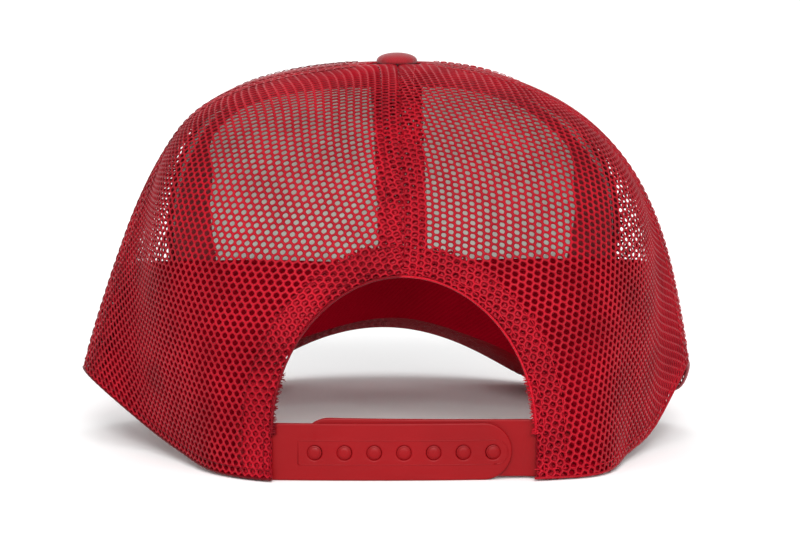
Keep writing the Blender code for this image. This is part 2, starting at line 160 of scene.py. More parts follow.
# rise, width, and how far it is turned down into the crown in degrees
TAPE_FOLD = ((0, 18, 0), (0.26, 18, 0), (0.33, 17, 3), (0.52, 4, 72), (0.60, 3.5, 75), (1, 5, 75))
TAB_HEIGHT = 17.0
TAB_OFFSET = -2.85
NET_TUCK = 0.5
NET_TUCK_REACH = 0.7
NET_EDGE_MARGIN = 0.3
# the strand's rounded shoulder: its share of the way out from the hole, and of the crest's height
NET_SHOULDER_SHARE = 0.45
NET_SHOULDER_HEIGHT_SHARE = 0.66
STITCH_LENGTH = 2.3
STITCH_GAP = 0.8
STITCH_STEP = 0.25
STITCH_ARC = (-0.25, 0.6, 1.0, 0.6, -0.25)
TOPSTITCH_LIFT = NET_STRAND_HEIGHT + 0.05
TOPSTITCH_TOP_RISE = 0.93
BAND_STITCH_SHIFTS = (-5.2, 5.2)
TAPE_STITCH_SHIFTS = (-2.4, 2.4)
ARCH_STITCH_DISTANCES = (2.2, ARCH_BAND_WIDTH - 1.0)
FRAY_COUNT = 150
FRAY_HEIGHTS = (15, 34)
HEM_STITCH_RISE = 3.4
HEM_END_AZIMUTH = 127
# edge inset, lowest rise, highest rise and depth of the front panel's two layers
FRONT_OUTER_LAYER = (0.15, 0.0, 0.972, 0.1)
FRONT_LINING_LAYER = (2.2, 0.012, 0.965, -1.7)
TAPE_DEPTH = -3.5
TAPE_CROWN = 0.3
SWEATBAND_START = 30.5
SWEATBAND_DEPTH = -4.8
# how much nearer to the net the sweatband's sewn edge lies, at the back and less of it at the front
SWEATBAND_EDGE_RISE = 3.2
SWEATBAND_FRONT_LOSS = 2.7
SWEATBAND_EDGE_HEIGHT = 14
SWEATBAND_RIPPLE = 0.18
ALLOWANCE_HALF_AZIMUTH = 42
ALLOWANCE_HEIGHT = 10
ALLOWANCE_DEPTH = -3.7
BUTTON_SINK = 0.1
BUTTON_RIM = 0.9
BUTTON_GATHERS = 18
BUTTON_GATHER_DEPTH = 0.07
BUTTON_SIDES = 72
VISOR_BOARD_HALF = 0.95
VISOR_BOARD_SPAN = (0.01, 0.985)
VISOR_CLOTH_LEVEL = 1.45
VISOR_CLOTH_HALF = 0.25
VISOR_COLUMNS = 220
VISOR_STITCH_ROWS = 7
VISOR_FIRST_STITCH_ROW = 0.955
VISOR_STITCH_PITCH = 0.125
VISOR_STITCH_LEVEL = 1.72
# radius and distance out from the middle of the strap, from the root of a peg to its top
PEG_PROFILE = ((2.28, 0.6), (2.28, 1.9), (2.2, 1.98), (1.75, 2.0), (1.72, 2.3), (1.45, 2.42), (0.6, 2.48))
PEG_SIDES = 28
BEAD_ENDS = (-33.3, 33.8)
BEAD_HALF_HEIGHT = 3.9


def smooth_through(points, column, at):
    """Values at `at` of a smooth curve through rows of points, level at both ends."""
    x = np.array([row[0] for row in points], float)
    y = np.array([row[column] for row in points], float)
    spans = np.diff(x)
    rises = np.diff(y) / spans
    slopes = np.zeros(len(x))
    slopes[1:-1] = (rises[:-1] * spans[1:] + rises[1:] * spans[:-1]) / (spans[:-1] + spans[1:])
    at = np.clip(np.asarray(at, float), x[0], x[-1])
    i = np.clip(np.searchsorted(x, at) - 1, 0, len(x) - 2)
    t = (at - x[i]) / spans[i]
    start = (2 * t**3 - 3 * t**2 + 1) * y[i] + (t**3 - 2 * t**2 + t) * spans[i] * slopes[i]
    end = (3 * t**2 - 2 * t**3) * y[i + 1] + (t**3 - t**2) * spans[i] * slopes[i + 1]
    return start + end


def metres(points):
    """Laid-out points in mm as places in the frame."""
    return (np.asarray(points, float).reshape(-1, 3) + CENTRING) * MM


def unit(vectors):
    return vectors / np.maximum(np.linalg.norm(vectors, axis=-1, keepdims=True), 1e-12)


def crown_surface(azimuth, rise):
    """Points of the crown. rise runs from 0 at the hem to 1 under the button."""
    azimuth, rise = np.broadcast_arrays(np.asarray(azimuth, float), np.asarray(rise, float))
    turned = (azimuth + 180) % 360 - 180
    angle = np.radians(azimuth)
    radius = smooth_through(HEM, 1, turned)
    height = smooth_through(HEM, 2, turned)
    shoulder = smooth_through(SHOULDER, 1, turned)
    top = smooth_through(SHOULDER, 2, turned) * shoulder
    shoulder_z = height + SHOULDER_HEIGHT_SHARE * (CROWN_TOP - height)
    stay = 1 - rise
    r = stay**3 * radius + 3 * rise * stay**2 * shoulder + 3 * rise**2 * stay * top
    z = stay**3 * height + 3 * rise * stay**2 * shoulder_z + (3 * rise**2 * stay + rise**3) * CROWN_TOP
    # soft fabric is never quite even
    fade = np.sin(np.pi * np.clip(rise, 0, 1)) ** 2
    wave = np.sin(angle * 7 + 9 * rise) + 0.7 * np.sin(angle * 11 - 13 * rise + 1.3)
    r = r + CROWN_WAVE * fade * wave
    lean = smooth_through(LEAN, 1, rise) * np.abs(np.sin(angle))
    return np.stack((r * np.sin(angle) + lean, r * np.cos(angle) + CROWN_CENTRE_Y, z), -1)


def radius_of(points, least=0.0):
    """Distance of points from the crown's upright axis."""
    return np.maximum(np.hypot(points[..., 0], points[..., 1] - CROWN_CENTRE_Y), least)


def eased(share):
    """Shares from 0 to 1 with a level start and end."""
    return share * share * (3 - 2 * share)


def crown_normal(azimuth, rise):
    across = crown_surface(azimuth + 0.5, rise) - crown_surface(azimuth - 0.5, rise)
    above = crown_surface(azimuth, np.minimum(rise + 0.01, 1))
    below = crown_surface(azimuth, np.maximum(rise - 0.01, 0))
    return unit(np.cross(above - below, across))


def crown(azimuth, rise, offset=0.0):
    """Points of the crown moved outwards by offset."""
    azimuth, rise = np.broadcast_arrays(np.asarray(azimuth, float), np.asarray(rise, float))
    offset = np.broadcast_to(np.asarray(offset, float), azimuth.shape)
    return crown_surface(azimuth, rise) + crown_normal(azimuth, rise) * offset[..., None]


def rise_at(azimuth, height):
    """The rise at which the crown passes a height."""
    azimuth, height = np.broadcast_arrays(np.asarray(azimuth, float), np.asarray(height, float))
    low = np.zeros(azimuth.shape)
    high = np.ones(azimuth.shape)
    for _ in range(22):
        middle = (low + high) / 2
        below = crown_surface(azimuth, middle)[..., 2] < height
        low = np.where(below, middle, low)
        high = np.where(below, high, middle)
    return (low + high) / 2


def back_place(x, z):
    """Azimuth and rise of the points of the crown's back with these x and z."""
    x, z = np.broadcast_arrays(np.asarray(x, float), np.asarray(z, float))
    azimuth = np.degrees(np.arctan2(x, 80.0))
    for _ in range(9):
        rise = rise_at(azimuth, z)
        point = crown_surface(azimuth, rise)
        azimuth = azimuth + np.degrees((x - point[..., 0]) / radius_of(point))
    return azimuth, rise_at(azimuth, z)


def centre_seam(rise):
    return np.zeros_like(np.asarray(rise, float))


def side_seam(rise):
    return smooth_through(SIDE_SEAM, 1, rise)


def front_seam(rise):
    return smooth_through(FRONT_SEAM, 1, rise)


def other_side(seam):
    return lambda rise: -seam(rise)


def both_sides(seam):
    """Name, seam and direction towards the front of the left and the right seam."""
    return ("left", seam, 1), ("right", other_side(seam), -1)


# ---------------------------------------------------------------- materials


class Nodes:
    """Short names for the few node links that the materials repeat."""

    def __init__(self, name):
        self.material = bpy.data.materials.new(name)
        self.material.use_nodes = True
        self.tree = self.material.node_tree
        self.shader = self.tree.nodes["Principled BSDF"]
        self.place = self.tree.nodes.new("ShaderNodeTexCoord").outputs["Object"]

    def add(self, kind, **values):
        node = self.tree.nodes.new(kind)
        for key, value in values.items():
            setattr(node, key, value)
        return node

    def link(self, output, target):
        self.tree.links.new(output, target)

    def attribute(self, name):
        return self.add("ShaderNodeAttribute", attribute_name=name).outputs["Vector"]

    def noise(self, size, detail, stretch=(1, 1, 1)):
        """Noise with features of about `size` mm."""
        mapping = self.add("ShaderNodeMapping")
        mapping.inputs["Scale"].default_value = stretch
        self.link(self.place, mapping.inputs["Vector"])
        noise = self.add("ShaderNodeTexNoise")
        noise.inputs["Scale"].default_value = 1 / (size * MM)
        noise.inputs["Detail"].default_value = detail
        self.link(mapping.outputs["Vector"], noise.inputs["Vector"])
        return noise.outputs["Fac"]

    def between(self, factor, low, high, first, second):
        """A colour going from first to second as factor goes from low to high."""
        ramp = self.add("ShaderNodeValToRGB")
        ramp.color_ramp.elements[0].position = low
        ramp.color_ramp.elements[0].color = (*first, 1)
        ramp.color_ramp.elements[1].position = high
        ramp.color_ramp.elements[1].color = (*second, 1)
        self.link(factor, ramp.inputs["Fac"])
        return ramp.outputs["Color"]

    def maths(self, operation, first, second=0):
        node = self.add("ShaderNodeMath", operation=operation)
        for socket, value in zip(node.inputs, (first, second)):
            if isinstance(value, (int, float)):
                socket.default_value = value
            else:
                self.link(value, socket)
        return node.outputs["Value"]

    def mix(self, *shares):
        """The sum of values, each taken by its share."""
        total = None
        for value, share in shares:
            part = self.maths("MULTIPLY", value, share)
            total = part if total is None else self.maths("ADD", total, part)
        return total

    def colour(self, output):
        self.link(output, self.shader.inputs["Base Color"])

    def bump(self, height, depth, strength):
        """Bump from a height of 0 to 1 that stands for `depth` mm."""
        bump = self.add("ShaderNodeBump")
        bump.inputs["Distance"].default_value = depth * MM
        bump.inputs["Strength"].default_value = strength
        self.link(height, bump.inputs["Height"])
        self.link(bump.outputs["Normal"], self.shader.inputs["Normal"])

    def finish(self, roughness, sheen=0.0, specular=0.5, metallic=0.0):
        self.shader.inputs["Roughness"].default_value = roughness
        self.shader.inputs["Sheen Weight"].default_value = sheen
        self.shader.inputs["Specular IOR Level"].default_value = specular
        self.shader.inputs["Metallic"].default_value = metallic
        return self.material


def scaled(colour, factor):
    return tuple(min(1.0, value * factor) for value in colour)


def yarn_material(name, colour):
    """Polyester yarn: a painted highlight on the crests and painted shade on the sides, fine filaments and
    slow random changes of tone.
    """
    nodes = Nodes(name)
    split = nodes.add("ShaderNodeSeparateXYZ")
    nodes.link(nodes.attribute("cloth"), split.inputs["Vector"])
    across = split.outputs["X"]
    filaments = nodes.noise(0.22, 3.0, stretch=(1, 1, 2.2))
    shade = nodes.noise(14.0, 1.0)
    # the place across the strand paints the crests lighter and the sides darker: painted highlight and
    # painted shade
    mixed = nodes.mix((filaments, 0.55), (shade, 0.45), (across, -0.30))
    nodes.colour(nodes.between(mixed, 0.12, 0.62, scaled(colour, 0.45), scaled(colour, 1.3)))
    groove = nodes.maths("COSINE", nodes.maths("MULTIPLY", across, 3 * math.pi))
    relief = nodes.mix((groove, 0.5), (filaments, 1.0))
    nodes.bump(relief, 0.10, 0.7)
    nodes.shader.inputs["Specular Tint"].default_value = (1.0, 0.45, 0.52, 1)
    return nodes.finish(0.34, specular=0.2)


def woven_material(name, colour, thread, depth, diagonal=True, sheen=0.2, specular=0.3):
    """Cloth with threads along the piece's own cloth coordinates, as plain or diagonal weave."""
    nodes = Nodes(name)
    split = nodes.add("ShaderNodeSeparateXYZ")
    nodes.link(nodes.attribute("cloth"), split.inputs["Vector"])
    turn = 2 * math.pi / thread
    across = split.outputs["X"]
    along = split.outputs["Y"]
    if diagonal:
        across, along = nodes.maths("ADD", across, along), nodes.mix((across, 0.5), (along, -0.5))
    warp = nodes.maths("SINE", nodes.maths("MULTIPLY", across, turn))
    weft = nodes.maths("SINE", nodes.maths("MULTIPLY", along, turn))
    weave = nodes.maths("MAXIMUM" if diagonal else "MULTIPLY", warp, weft)
    weave = nodes.maths("ADD", nodes.maths("MULTIPLY", weave, 0.5), 0.5)
    fuzz = nodes.noise(0.35, 3.0)
    shade = nodes.noise(18.0, 2.0)
    mixed = nodes.mix((weave, 0.35), (fuzz, 0.35), (shade, 0.30))
    nodes.colour(nodes.between(mixed, 0.25, 0.75, scaled(colour, 0.72), scaled(colour, 1.15)))
    nodes.bump(nodes.mix((weave, 1.0), (fuzz, 0.5)), depth, 0.7)
    return nodes.finish(0.8, sheen=sheen, specular=specular)


def foam_material(name, colour):
    """Brushed lining laminated to foam: matt, slightly pilled, with shallow dimples."""
    nodes = Nodes(name)
    fuzz = nodes.noise(0.6, 4.0)
    dimples = nodes.noise(6.0, 2.0)
    mixed = nodes.mix((fuzz, 0.5), (dimples, 0.5))
    nodes.colour(nodes.between(mixed, 0.3, 0.7, scaled(colour, 0.86), scaled(colour, 1.08)))
    nodes.bump(mixed, 0.35, 0.5)
    return nodes.finish(0.95, sheen=0.3, specular=0.2)


def moulded_material(name, colour):
    """Semi-gloss soft plastic with a fine moulded grain and a few faint scuffs."""
    nodes = Nodes(name)
    grain = nodes.noise(0.35, 2.0)
    cloud = nodes.noise(22.0, 1.0)
    scuffs = nodes.noise(2.5, 5.0, stretch=(0.25, 1, 2.5))
    nodes.colour(nodes.between(cloud, 0.3, 0.7, scaled(colour, 0.93), scaled(colour, 1.06)))
    rough = nodes.add("ShaderNodeMapRange")
    rough.inputs["From Min"].default_value = 0.35
    rough.inputs["From Max"].default_value = 0.75
    rough.inputs["To Min"].default_value = 0.36
    rough.inputs["To Max"].default_value = 0.52
    nodes.link(scuffs, rough.inputs["Value"])
    nodes.bump(grain, 0.03, 0.5)
    made = nodes.finish(0.42, specular=0.12)
    nodes.link(rough.outputs["Result"], nodes.shader.inputs["Roughness"])
    nodes.shader.inputs["Subsurface Weight"].default_value = 0.06
    nodes.shader.inputs["Subsurface Radius"].default_value = (0.002, 0.0004, 0.0004)
    return made


def steel_material(name, colour):
    nodes = Nodes(name)
    brushed = nodes.noise(1.2, 4.0, stretch=(6, 0.6, 1))
    nodes.colour(nodes.between(brushed, 0.3, 0.7, scaled(colour, 0.8), scaled(colour, 1.1)))
    nodes.bump(brushed, 0.02, 0.5)
    return nodes.finish(0.34, metallic=1.0)


def board_material(name, colour):
    nodes = Nodes(name)
    grain = nodes.noise(0.8, 3.0)
    nodes.colour(nodes.between(grain, 0.35, 0.65, scaled(colour, 0.92), scaled(colour, 1.03)))
    nodes.bump(grain, 0.05, 0.5)
    return nodes.finish(0.6)


def floor_material(name):
    nodes = Nodes(name)
    tone = nodes.noise(400.0, 1.0)
    nodes.colour(nodes.between(tone, 0.2, 0.8, (0.94, 0.94, 0.94), (0.96, 0.96, 0.96)))
    return nodes.finish(0.9, specular=0.1)


MESH_RED = (0.33, 0.004, 0.012)
CLOTH_RED = (0.30, 0.0045, 0.011)
STRAP_RED = (0.21, 0.0025, 0.0045)
TAPE_RED = (0.22, 0.006, 0.012)
SWEATBAND_RED = (0.23, 0.001, 0.007)
MATERIALS = {
    "net": yarn_material("net_yarn_red", MESH_RED),
    "band_net": yarn_material("band_net_yarn_red", scaled(MESH_RED, 0.85)),
    "edge": yarn_material("bound_edge_red", scaled(MESH_RED, 0.95)),
    "hem": yarn_material("hem_binding_red", scaled(MESH_RED, 0.62)),
    "thread": yarn_material("sewing_thread_red", scaled(MESH_RED, 0.95)),
    "lining_thread": yarn_material("lining_thread_dark_red", scaled(CLOTH_RED, 0.7)),
    "front": woven_material("front_panel_twill_red", CLOTH_RED, 0.5, 0.08),
    "visor_top": woven_material("visor_twill_red", CLOTH_RED, 0.5, 0.10),
    "visor_under": woven_material("visor_lining_red", CLOTH_RED, 0.5, 0.06, sheen=0, specular=0.03),
    # the binding's colour is lifted to 1.4 times the cloth's as a painted highlight, standing in for light
    # bounced onto the visor's edge
    "binding": woven_material("visor_binding_red", scaled(CLOTH_RED, 1.4), 0.45, 0.08, diagonal=False),
    "tape": woven_material("seam_tape_dark_red", TAPE_RED, 0.7, 0.12, diagonal=False),
    "sweatband": woven_material("sweatband_twill_crimson", SWEATBAND_RED, 0.8, 0.12, sheen=0, specular=0),
    "foam": foam_material("front_lining_grey", (0.68, 0.76, 0.69)),
    "strap": moulded_material("strap_plastic_red", STRAP_RED),
    "button": woven_material("button_cover_red", scaled(MESH_RED, 0.8), 0.6, 0.12, diagonal=False),
    "steel": steel_material("button_steel", (0.62, 0.62, 0.62)),
    "board": board_material("visor_board_white", (0.72, 0.72, 0.70)),
    "floor": floor_material("table_white"),
}


# ---------------------------------------------------------------- mesh helpers


def mesh_of(name, points, faces):
    """A mesh of points in mm."""
    if isinstance(faces, np.ndarray):
        faces = faces.tolist()
    mesh = bpy.data.meshes.new(name)
    mesh.from_pydata(metres(points).tolist(), [], faces)
    return mesh


def dressed(mesh, material, body=None, crease=None):
    """An object of a mesh, smooth but for creases sharper than an angle, riding on a body."""
    mesh.materials.append(MATERIALS[material])
    mesh.shade_smooth()
    if crease:
        mesh.set_sharp_from_angle(angle=math.radians(crease))
    made = bpy.data.objects.new(mesh.name, mesh)
    bpy.context.scene.collection.objects.link(made)
    if body:
        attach(made, body)
    return made


def piece(name, points, faces, material, body, cloth=None, crease=None):
    """A mesh object from points in mm, riding on a body. cloth holds each point's weave coordinates."""
    mesh = mesh_of(name, points, faces)
    if cloth is not None:
        flat = np.zeros((len(mesh.vertices), 3))
        flat[:, :2] = np.asarray(cloth, float).reshape(-1, 2)
        mesh.attributes.new("cloth", "FLOAT_VECTOR", "POINT").data.foreach_set("vector", flat.ravel())
    return dressed(mesh, material, body, crease)


def grid_faces(columns, rows, start=0):
    """Quads of a grid of points stored row by row."""
    i, j = np.meshgrid(np.arange(columns - 1), np.arange(rows - 1))
    first = (start + j * columns + i).ravel()
    return np.stack((first, first + 1, first + 1 + columns, first + columns), -1)


def slab(outer, inner):
    """A closed skin between two grids of points of the same shape (rows, columns, 3)."""
    rows, columns = outer.shape[:2]
    count = rows * columns
    faces = [grid_faces(columns, rows), grid_faces(columns, rows, count)[:, ::-1]]
    index = np.arange(count).reshape(rows, columns)
    rim = np.concatenate((index[0, :-1], index[:-1, -1], index[-1, :0:-1], index[:0:-1, 0]))
    after = np.roll(rim, -1)
    faces.append(np.stack((after, rim, rim + count, after + count), -1))
    return np.concatenate((outer.reshape(-1, 3), inner.reshape(-1, 3))), np.concatenate(faces)


def cloth_of(points):
    """Cloth coordinates in mm of a grid: the distance along its middle row and up its middle column."""
    rows, columns = points.shape[:2]
    across = np.linalg.norm(np.diff(points, axis=1), axis=-1)
    up = np.linalg.norm(np.diff(points, axis=0), axis=-1)
    x = np.concatenate((np.zeros((rows, 1)), np.cumsum(across, axis=1)), axis=1)
    x = x - x[:, columns // 2 : columns // 2 + 1]
    y = np.concatenate((np.zeros((1, columns)), np.cumsum(up, axis=0)), axis=0)
    return np.stack((x, y), -1)


def cloth_sheet(name, place, columns, rows, half_thickness, material, body):
    """A cloth skin of even thickness. place(u, v, lift) gives points lifted from its middle."""
    u, v = np.meshgrid(np.linspace(0, 1, columns), np.linspace(0, 1, rows))
    outer = place(u, v, half_thickness)
    points, faces = slab(outer, place(u, v, -half_thickness))
    cloth = cloth_of(outer)
    return piece(name, points, faces, material, body, np.concatenate((cloth, cloth)), crease=50)


def tube_rings(path, radius, sides, up, flatten=1.0):
    """Rings of points round a path, turned to keep one side towards `up`."""
    path = np.asarray(path, float)
    along = unit(np.gradient(path, axis=0))
    up = np.broadcast_to(np.asarray(up, float), path.shape)
    side = unit(np.cross(along, up))
    top = unit(np.cross(side, along))
    turn = np.linspace(0, 2 * math.pi, sides, endpoint=False)
    radius = np.broadcast_to(np.asarray(radius, float), (len(path),))
    cosine = np.cos(turn)[None, :, None]
    sine = np.sin(turn)[None, :, None]
    ring = side[:, None] * cosine + top[:, None] * sine * flatten
    return path[:, None] + ring * radius[:, None, None]


def tube_faces(count, sides, start):
    """Quads along a tube, and a flat face at each end."""
    j, i = np.meshgrid(np.arange(count - 1), np.arange(sides), indexing="ij")
    after = (i + 1) % sides
    quads = np.stack((j * sides + i, j * sides + after, (j + 1) * sides + after, (j + 1) * sides + i), -1)
    faces = (quads.reshape(-1, 4) + start).tolist()
    faces.append([start + k for k in range(sides - 1, -1, -1)])
    faces.append([start + (count - 1) * sides + k for k in range(sides)])
    return faces


def tubes(name, paths, radii, ups, sides, material, body, flatten=1.0):
    """One object of several round threads or cords."""
    points = []
    faces = []
    start = 0
    for path, radius, up in zip(paths, radii, ups):
        points.append(tube_rings(path, radius, sides, up, flatten).reshape(-1, 3))
        faces.extend(tube_faces(len(path), sides, start))
        start += len(path) * sides
    points = np.concatenate(points)
    cloth = np.stack((points[:, 0], points[:, 1] + points[:, 2]), -1)
    return piece(name, points, faces, material, body, cloth)


def resample(path, step):
    """A path's points moved to even steps, with their shares of the way along."""
    path = np.asarray(path, float)
    run = np.concatenate(([0], np.cumsum(np.linalg.norm(np.diff(path, axis=0), axis=1))))
    count = max(int(run[-1] / step) + 1, 2)
    at = np.linspace(0, run[-1], count)
    return np.stack([np.interp(at, run, path[:, k]) for k in range(3)], -1), at / run[-1]


def stitches(name, lines, body, radius=0.15, lift=0.12, material="thread"):
    """Rows of sewing thread. A line is a path and the outward directions along it."""
    paths = []
    ups = []
    reach = int(STITCH_LENGTH / STITCH_STEP)
    pitch = int((STITCH_LENGTH + STITCH_GAP) / STITCH_STEP)
    arc = np.array(STITCH_ARC)[:, None] * lift
    for path, outward in lines:
        even, share = resample(path, STITCH_STEP)
        spots = np.linspace(0, 1, len(path))
        out = unit(np.stack([np.interp(share, spots, outward[:, k]) for k in range(3)], -1))
        for first in range(0, len(even) - reach, pitch):
            picks = first + np.array([0, 2, 4, 6, 8]) * reach // 8
            paths.append(even[picks] + out[picks] * arc)
            ups.append(out[picks])
    return tubes(name, paths, [radius] * len(paths), ups, 6, material, body)


# ---------------------------------------------------------------- the net


class Gore:
    """A panel between two seams, laid flat: across from its middle line and up from the hem, in mm."""

    def __init__(self, left, right, turn):
        self.turn = math.radians(turn)
        self.rises = np.linspace(0, NET_TOP_RISE, 100)
        edges = (left(self.rises), right(self.rises))
        shares = np.linspace(0, 1, 81)
        azimuths = edges[0][:, None] + shares * (edges[1] - edges[0])[:, None]
        points = crown_surface(azimuths, self.rises[:, None])
        steps = np.linalg.norm(np.diff(points, axis=1), axis=-1)
        run = np.concatenate((np.zeros((len(self.rises), 1)), np.cumsum(steps, axis=1)), axis=1)
        run = run - run[:, 40:41]
        middle = points[:, 40]
        self.up = np.concatenate(([0], np.cumsum(np.linalg.norm(np.diff(middle, axis=0), axis=1))))
        self.low = run[:, 0]
        self.high = run[:, -1]
        self.reach = float(max(-self.low.min(), self.high.max())) + 4
        self.spots = np.arange(-self.reach, self.reach + 1, 1.0)
        self.table = np.stack([np.interp(self.spots, run[i], azimuths[i]) for i in range(len(self.rises))])
        radius = radius_of(middle)
        self.bend = np.clip(-np.gradient(radius, self.up) / radius, 1e-4, 0.05)

    def limits(self, up):
        return np.interp(up, self.up, self.low), np.interp(up, self.up, self.high)

    def draped(self, x, y):
        """Where the points of a flat net with straight rows land: across and up on the panel."""
        cosine = math.cos(self.turn)
        sine = math.sin(self.turn)
        x, y = x * cosine - y * sine, x * sine + y * cosine
        up = y
        for _ in range(40):
            bend = np.interp(up, self.up, self.bend)
            turned = np.arcsin(np.clip(x * bend, -0.97, 0.97))
            up = (up + y - (1 - np.cos(turned)) / bend) / 2
        return turned / bend + (x - np.sin(turned) / bend), up

    def place(self, across, up):
        """Azimuth and rise of flat coordinates."""
        rise = np.interp(up, self.up, self.rises)
        i = np.clip(np.interp(up, self.up, np.arange(len(self.up))), 0, len(self.up) - 1.001)
        j = np.clip(across - self.spots[0], 0, len(self.spots) - 1.001)
        i0 = i.astype(int)
        j0 = j.astype(int)
        fi = i - i0
        fj = j - j0
        low = self.table[i0, j0] * (1 - fj) + self.table[i0, j0 + 1] * fj
        high = self.table[i0 + 1, j0] * (1 - fj) + self.table[i0 + 1, j0 + 1] * fj
        return low * (1 - fi) + high * fi, rise


def squeezed(value, limit):
    """Distances kept above a limit, crowding up to it over the last stretch as cloth does at a seam."""
    inside = limit + NET_SQUEEZE
    crowded = limit + NET_SQUEEZE * np.exp(np.minimum((value - inside) / NET_SQUEEZE, 0))
    return np.where(value < inside, crowded, value)


def arch_distance(x, z):
    """Distance out from the arch's edge, and the direction of it in the x-z plane."""
    above = np.maximum(z - ARCH_SPRING_Z, 0)
    share = np.hypot(x / ARCH_HALF_WIDTH, above / ARCH_HEIGHT)
    share = np.maximum(share, 1e-6)
    gx = x / ARCH_HALF_WIDTH**2 / share
    gz = above / ARCH_HEIGHT**2 / share
    size = np.maximum(np.hypot(gx, gz), 1e-9)
    return (share - 1) / size, gx / size, gz / size


HEXAGON_TOP = (NET_ROW**2 + NET_PITCH**2 / 4) / (2 * NET_ROW)
HEXAGON_SIDE = (NET_ROW**2 - NET_PITCH**2 / 4) / (2 * NET_ROW)


def cell_outline():
    """The corners and the middles of the sides of one cell of the net, twelve points, and their heights."""
    half = NET_PITCH / 2
    corners = np.array(
        [
            (0, HEXAGON_TOP),
            (-half, HEXAGON_SIDE),
            (-half, -HEXAGON_SIDE),
            (0, -HEXAGON_TOP),
            (half, -HEXAGON_SIDE),
            (half, HEXAGON_SIDE),
        ]
    )
    middles = (corners + np.roll(corners, -1, axis=0)) / 2
    outline = np.stack((corners, middles), 1).reshape(-1, 2)
    upright = np.abs(np.abs(outline[:, 0]) - half) < 1e-6
    tie = upright & (np.abs(outline[:, 1]) < HEXAGON_SIDE * 0.9)
    height = np.where(tie, NET_TIE_HEIGHT, NET_STRAND_HEIGHT)
    return outline, height


def net(gore, layer, phase, keep, arched=False, hole_share=NET_HOLE_SHARE):
    """Net over a gore as one closed mesh. keep(x, z) says which cells are there."""
    outline, crest = cell_outline()
    extent = math.hypot(gore.reach, gore.up[-1]) + 10
    rows = np.arange(-int(extent / NET_ROW), int(extent / NET_ROW))
    columns = np.arange(-int(extent / NET_PITCH), int(extent / NET_PITCH))
    j, i = np.meshgrid(rows, columns, indexing="ij")
    x = (((i + 0.5 * (j % 2)) + phase[0]) * NET_PITCH).ravel()
    y = ((j + phase[1]) * NET_ROW).ravel()
    across, up = gore.draped(x, y)
    low, high = gore.limits(np.clip(up, 0, gore.up[-1]))
    inside = (up > -NET_EDGE_MARGIN) & (up < gore.up[-1] - 1)
    inside &= (across > low - NET_EDGE_MARGIN) & (across < high + NET_EDGE_MARGIN)
    x, y, across, up = x[inside], y[inside], across[inside], up[inside]
    azimuth, rise = gore.place(across, up)
    spot = crown_surface(azimuth, rise)
    if arched:
        out = arch_distance(spot[:, 0], spot[:, 2])[0]
        clear = (out > -NET_EDGE_MARGIN) | (spot[:, 1] < 0)
    else:
        clear = np.ones(len(spot), bool)
    clear &= keep(spot[:, 0], spot[:, 2])
    centres = np.stack((x[clear], y[clear]), -1)

    # the corners that neighbouring cells share are found by their flat coordinates
    ring = centres[:, None] + outline[None]
    keys = np.round(ring.reshape(-1, 2) / 0.01).astype(np.int64)
    _, first, index = np.unique(keys, axis=0, return_index=True, return_inverse=True)
    index = index.reshape(len(centres), 12)
    shared = ring.reshape(-1, 2)[first]
    shared_height = np.tile(crest, len(centres))[first]
    lengths = np.linalg.norm(outline, axis=1)
    round_radius = hole_share * 0.93 * (NET_PITCH / 2 * 0.5 + lengths * 0.5)
    direction = outline / lengths[:, None]
    shoulder = direction * (round_radius + (lengths - round_radius) * NET_SHOULDER_SHARE)[:, None]
    shoulders = (centres[:, None] + shoulder[None]).reshape(-1, 2)
    holes = (centres[:, None] + (direction * round_radius[:, None])[None]).reshape(-1, 2)
    shoulder_height = np.tile(crest * NET_SHOULDER_HEIGHT_SHARE, len(centres))

    flat = np.concatenate((shared, shared, shoulders, holes))
    lift = np.concatenate((shared_height, -shared_height, shoulder_height, np.zeros(len(holes))))
    # the place across the strand, 0 at the crest and 1 at the hole's edge: the yarn's material paints a
    # highlight on the crests and shade on the sides from it
    ridge = np.concatenate((np.zeros(2 * len(shared)), np.full(len(shoulders), 0.55), np.ones(len(holes))))
    across, up = gore.draped(flat[:, 0], flat[:, 1])
    low, high = gore.limits(np.clip(up, 0, gore.up[-1]))
    across = squeezed(across - low, -NET_SEAM_OVERLAP) + low
    across = high - squeezed(high - across, -NET_SEAM_OVERLAP)
    up = squeezed(up, 0.0)
    azimuth, rise = gore.place(across, up)
    if arched:
        spot = crown_surface(azimuth, rise)
        out, gx, gz = arch_distance(spot[:, 0], spot[:, 2])
        near = (out < NET_SQUEEZE) & (spot[:, 1] > 50)
        shift = squeezed(out[near], 0.05) - out[near]
        spot_x = spot[near, 0] + gx[near] * shift
        spot_z = np.maximum(spot[near, 2] + gz[near] * shift, 0.5)
        azimuth[near], rise[near] = back_place(spot_x, spot_z)
    edge = np.minimum(across - low, high - across)
    tuck = -NET_TUCK * np.exp(-np.maximum(edge, 0) / NET_TUCK_REACH)
    points = crown(azimuth, rise, layer + lift + tuck)

    count = len(shared)
    upper = 2 * count + np.arange(len(shoulders)).reshape(-1, 12)
    hole = upper + len(shoulders)
    after = np.roll(index, -1, axis=1)
    upper_after = np.roll(upper, -1, axis=1)
    hole_after = np.roll(hole, -1, axis=1)
    faces = [
        np.stack((index, after, upper_after, upper), -1),
        np.stack((upper, upper_after, hole_after, hole), -1),
        np.stack((after + count, index + count, hole, hole_after), -1),
    ]
    edges = np.stack((index, after), -1).reshape(-1, 2)
    _, group, many = np.unique(np.sort(edges, axis=1), axis=0, return_inverse=True, return_counts=True)
    rim = edges[many[group.reshape(-1)] == 1]
    side = np.stack((rim[:, 1], rim[:, 0], rim[:, 0] + count, rim[:, 1] + count), -1)
    return points, np.concatenate([quads.reshape(-1, 4) for quads in faces] + [side]), ridge


def everywhere(x, z):
    return np.ones(len(x), bool)


def round_arch(x, z):
    return arch_distance(x, z)[0] < ARCH_BAND_WIDTH


def clear_of_arch(x, z):
    return ~round_arch(x, z)


